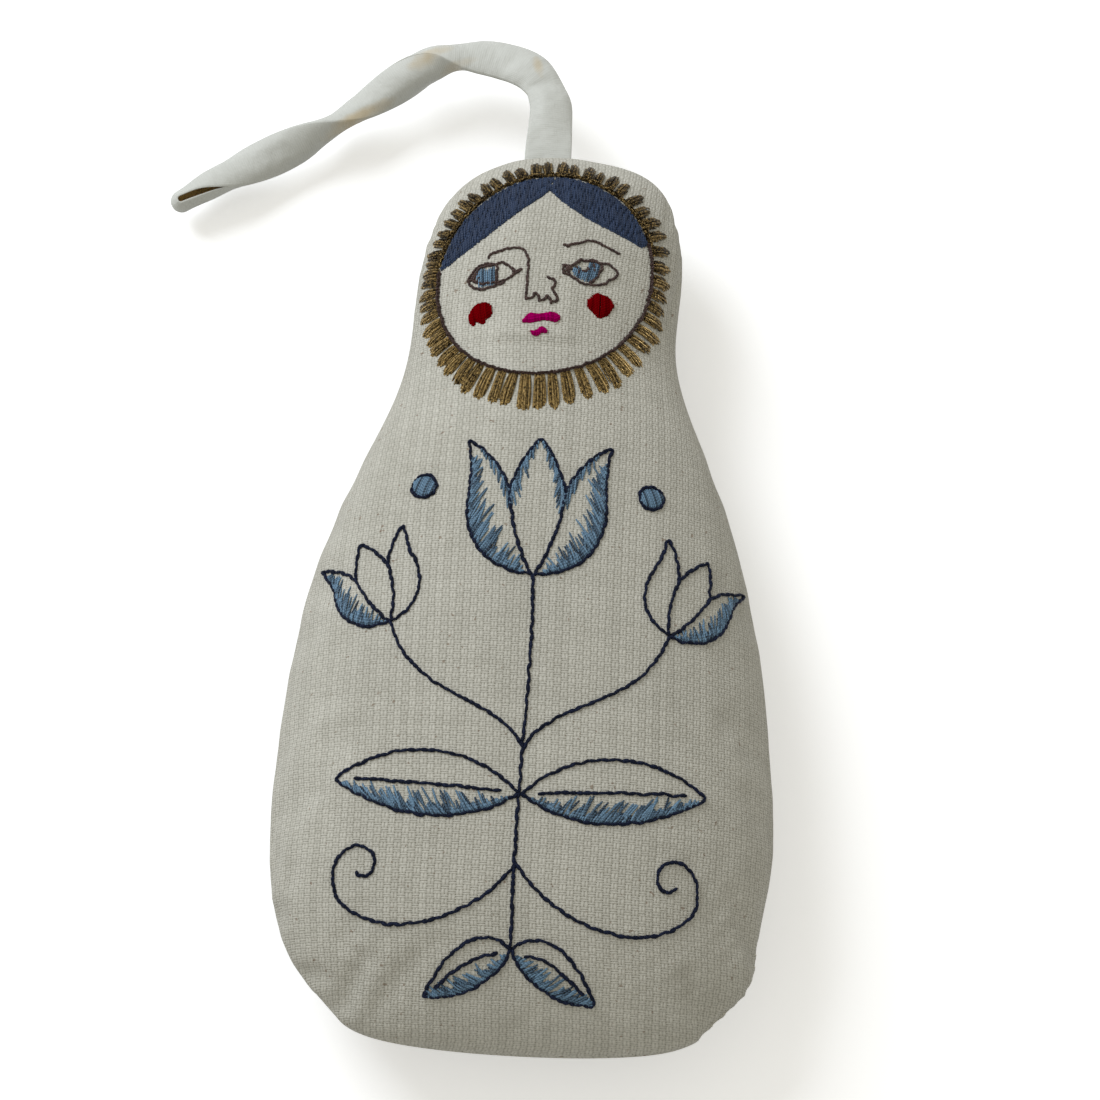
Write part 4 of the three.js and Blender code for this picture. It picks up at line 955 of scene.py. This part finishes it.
TULIP_HALF = drawn((0, 0), (0.3, 0, 0.5, 0.22, 0.47, 0.55), (0.45, 0.7, 0.46, 0.84, 0.5, 0.98),
                   (0.36, 0.9, 0.24, 0.76, 0.19, 0.6), (0.15, 0.76, 0.08, 0.9, 0, 1), step=0.03)
PETAL_LINE = drawn((0.19, 0.64), (0.18, 0.42, 0.12, 0.18, 0.01, 0.0), step=0.03)
MAIN_FLOWER, SIDE_FLOWER = ((0, -3), 25, 0), ((23.5, -11.5), 16, -24)
STEM = drawn((0, -3), (1.2, -20, -1.2, -44, 0, -65.4))
BRANCH = drawn((0, -33), (4, -24, 19, -26, 23.5, -11.5))
TENDRIL = drawn((0, -52), (7, -62, 22, -66, 29, -58.5), (33, -53, 27, -47, 23.6, -51),
                (22, -54, 25, -56, 26.4, -54))
LEAVES = {"upper": drawn((0.1, -40.5), (8, -33, 20, -31, 31, -38.5), (22, -45.5, 9, -47, 0.1, -40.5)),
          "lower": drawn((0.1, -65.5), (4, -62, 10, -64, 14, -73.5), (8, -74, 2, -71, 0.1, -65.5))}
MIDRIBS = {"upper": drawn((3.2, -40.4), (10, -39.6, 20, -39.2, 27.5, -38.6)),
           "lower": drawn((2.2, -66.4), (5.4, -66.4, 9.6, -69.4, 12.2, -72.2))}
LEAF_SHADING = {"upper": (-34, 5.2), "lower": (-64, 4.0)}  # slant in degrees, and depth
BERRY = (19.5, 13)


def flower(sign, spot):
    """A flower's outline and its two petal lines."""
    petals = [placed(stood(PETAL_LINE * (way, 1), *spot), sign) for way in (1, -1)]
    return [placed(closed_line(stood(both_halves(TULIP_HALF), *spot)), sign)] + petals


outlines, shades, stems = {"main_flower_outline": flower(1, MAIN_FLOWER)}, {}, [placed(STEM)]
for side, sign in (("right", 1), ("left", -1)):
    edge = placed(stood(part_of(TULIP_HALF, 0.03, 0.5), *MAIN_FLOWER), sign)
    tip = placed(stood(part_of(TULIP_HALF, 0.62, 0.99), *MAIN_FLOWER), sign)
    shades["main_flower_shading_" + side] = (hatched(edge, 26 * sign, 6.4) + hatched(edge, 32 * sign, 3.6)
                                             + hatched(tip, 172 * sign, 4.4))
    edge = placed(stood(part_of(TULIP_HALF, 0.02, 0.52), *SIDE_FLOWER), sign)
    shades[side + "_flower_shading"] = hatched(edge, 6 * sign, 4.6) + hatched(edge, 12 * sign, 2.8)
    outlines[side + "_flower_outline"] = flower(sign, SIDE_FLOWER)
    stems += [placed(BRANCH, sign), placed(TENDRIL, sign)]
    for level, leaf in LEAVES.items():
        outlines[side + "_" + level + "_leaf_outline"] = [placed(leaf, sign), placed(MIDRIBS[level], sign)]
        under = placed(part_of(leaf, 0.53, 0.97), sign)
        slant, depth = LEAF_SHADING[level]
        shades[side + "_" + level + "_leaf_shading"] = (hatched(under, slant * sign, depth)
                                                        + hatched(under, slant * sign + 5, 2.8))
    round_it = np.radians(np.arange(0, 361, 15))
    round_it = np.stack((np.cos(round_it), np.sin(round_it)), 1)
    berry = placed(BERRY + 2.1 * round_it, sign)
    shades[side + "_berry"] = [(*rows_inside(berry, 0.3, 20 * sign, 0.12), 0.4, 0.34, 0.0)]
    stems.append(placed(BERRY + 2.2 * round_it, sign))
outlines["flower_stems"] = stems
for node, runs in shades.items():
    stitched(node, blue_thread, runs)
for node, lines in outlines.items():
    stitched(node, outline_thread, bean_runs(lines))

# SEAM
# The ribbon's tails go between the two panels, and these are sewn together 2.2 mm from the edge, all round
# but for the gap at the lower right where the filling goes in.
SEAM_INSET, CLOSING_FROM_Y, CLOSING_TO_Y = 2.2, -79.2, -61.0
sewing_thread = thread_finish("sewing_thread", dyed(176, 172, 156), dyed(228, 225, 212), 0.4, Roughness=0.6)


def edge_line(side, from_y, to_y, inset):
    """The line that far in from the edge of the cover, on its right side or its left one (-1)."""
    edge = cover_form(np.linspace(angle_of(from_y), angle_of(to_y), 240), side, 1)[:, :2]
    inwards = unit(np.gradient(edge, axis=0))[:, ::-1] * (-1, 1) * side * (1 if to_y > from_y else -1)
    return edge + inset * inwards


def lockstitches(holes):
    """The needle's thread above the seam and the bobbin's thread below it."""
    t = np.linspace(0, 1, 5)[None, :, None]
    flat_run = holes[:-1, None] * (1 - t) + holes[1:, None] * t
    for way in (1, -1):
        height = SEAM_Z + way * 0.13 * np.sin(math.pi * t)
        centre = np.concatenate((flat_run, np.broadcast_to(height, flat_run[..., :1].shape)), -1)
        yield centre, np.broadcast_to((0.0, 0.0, 1.0), centre.shape), 0.24


for name, side, from_y, to_y in (("right", 1, CLOSING_TO_Y + 0.6, 79.4), ("left", -1, 79.4, -80.9)):
    holes = needle_holes(edge_line(side, from_y, to_y, SEAM_INSET), 2.4)
    strand_piece("seam_stitches_" + name, "seam_thread_" + name, sewing_thread, lockstitches(holes))

# FILLING
# Fluffy polyester fibre packed into the body and the head, lumpy where tufts were pushed in. It fills the
# cover to within the seam allowance and is parted at the neck.
NECK_Y, FILLING_INSIDE, FILLING_ROWS, FILLING_COLUMNS = 41.0, 2.6, 70, 45


def stuffing(name, node, from_y, to_y, lumps):
    turn = np.linspace(angle_of(from_y), angle_of(to_y), FILLING_ROWS)
    share = -np.cos(np.linspace(0, math.pi, FILLING_COLUMNS))
    left, right, _ = outline_at(turn).T[..., None]
    middle, half = (left + right) / 2, (right - left) / 2
    shrink = np.maximum(0, 1 - (FILLING_INSIDE + 2) / np.maximum(half, 1))
    ends = np.minimum(1, np.sin(np.linspace(0, math.pi, FILLING_ROWS)) ** 0.5 * 1.6)[:, None]
    faces, sheets = [], []
    for side in (1, -1):
        x, y, z = np.moveaxis(cover_form(turn[:, None], share[None, :], side), -1, 0)
        x = middle + (x - middle) * shrink * (0.55 + 0.45 * ends)
        lump = (np.sin(x / lumps) * np.cos(y / (lumps * 1.3) + side)
                + 0.5 * np.sin(x / (lumps * 0.4) + 2) * np.sin(y / (lumps * 0.5)))
        depth = np.maximum(0, np.abs(z - SEAM_Z) - FILLING_INSIDE) * ends
        z = SEAM_Z + side * np.maximum(0.02, (depth - 0.5 + 0.45 * lump) * (1 - np.abs(share) ** 8))
        y, z = np.clip(y, BASE_Y + 4, TOP_Y - 4), np.maximum(z, 0.9)
        face = grid_faces(FILLING_ROWS, FILLING_COLUMNS, start=len(sheets) * x.size)
        faces.append(face if side > 0 else face[:, ::-1])
        sheets.append(np.stack((x, y, z), -1).reshape(-1, 3))
    piece = new_piece(name, np.concatenate(sheets), np.concatenate(faces).tolist(),
                      [filling_finish], "filling")
    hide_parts(node)
    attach(piece, "doll")


filling_finish, filling_shader, wire = new_finish("fibre_filling", Roughness=1.0, Sheen_Weight=0.3)
tuft = wire.place().noise(900, 4, 0.7)
feed(filling_shader, Base_Color=tuft.blended(dyed(214, 212, 206), dyed(248, 247, 243)),
     Normal=tuft.bumped(0.5))
stuffing("body_stuffing", "body_filling", BASE_Y + 2, NECK_Y - 0.4, 6.0)
stuffing("head_stuffing", "head_filling", NECK_Y + 0.4, TOP_Y - 2, 4.0)

# CLOSING STITCHES
# The gap is drawn shut by hand once the doll is full: short rungs from fold to fold across the edge, with
# the thread run along inside the fold between them.
RUNGS = 9
rung_y = CLOSING_TO_Y - CLOSING_PITCH * (np.arange(RUNGS) + 0.5)
line = edge_line(1, CLOSING_FROM_Y, CLOSING_TO_Y, 0.12)
rungs = spots_at(rung_y, line[:, 1], line)
inside = edge_line(1, CLOSING_FROM_Y, CLOSING_TO_Y, 1.1)
folds = spots_at(rung_y, inside[:, 1], inside)
outwards = unit(rungs - folds)[:, None]
arc = np.linspace(-math.pi / 2, math.pi / 2, 9)[:, None]
risen = np.broadcast_to(np.sin(arc), (RUNGS, 9, 1))
over_edge = rungs[:, None] + outwards * (0.3 * np.cos(arc) - 0.15)
across_edge = np.concatenate((over_edge, SEAM_Z + 0.75 * risen), -1)
rung_normal = np.concatenate((outwards * np.cos(arc), risen), -1)
strand_piece("closing_stitches", "closing_thread", sewing_thread,
             [(across_edge, rung_normal, 0.3), *lockstitches(folds)])

# FLOOR, WORLD AND LAMPS
# A plain white table under a wide soft light, with one large soft lamp from the upper left.


def looked_at(wire):
    """1 where a thing is seen itself, in a mirror or through glass, and 0 where it only lights others."""
    camera_ray, mirror_ray, glass_ray = [wire.node("LightPath", None, None, "Is " + ray + " Ray")
                                         for ray in ("Camera", "Glossy", "Transmission")]
    return (camera_ray + mirror_ray + glass_ray).clamped()


floor_mesh = bpy.data.meshes.new("table_top")
table_corners = [(x, y, -0.0003) for x, y in ((-3, -3), (3, -3), (3, 3), (-3, 3))]
floor_mesh.from_pydata(table_corners, [], [(0, 1, 2, 3)])
put_in_scene("table_top", floor_mesh)
floor_material, floor_shader, floor_wire = new_finish("table_white", Roughness=0.9, Specular_IOR_Level=0.0)
seen = looked_at(floor_wire)
floor_shader.inputs["Emission Strength"].default_value = 1.0
feed(floor_shader, Base_Color=seen.blended(dyed(205, 205, 205), dyed(254, 254, 254)),
     Emission_Color=seen.blended((0, 0, 0, 1), (0.36, 0.36, 0.36, 1)))
floor_mesh.materials.append(floor_material)

world = bpy.data.worlds.new("studio")
bpy.context.scene.world = world
world.use_nodes = True
seen = looked_at(Wire(world.node_tree))
feed(world.node_tree.nodes["Background"], Strength=seen * 0.5 + 0.5,
     Color=seen.blended((1.0, 0.975, 0.88, 1.0), (1, 1, 1, 1)))

lamp = bpy.data.lights.new("window", "AREA")
lamp.size, lamp.energy, lamp.color = 0.4, 4.15, (0.91, 0.955, 1.03)
window = put_in_scene("window", lamp)
window.location = (-0.45, 0.46, 0.52)
window.rotation_euler = (Vector((0, 0.02, 0.01)) - window.location).to_track_quat("-Z", "Y").to_euler()

bpy.context.scene.view_settings.view_transform = "Standard"
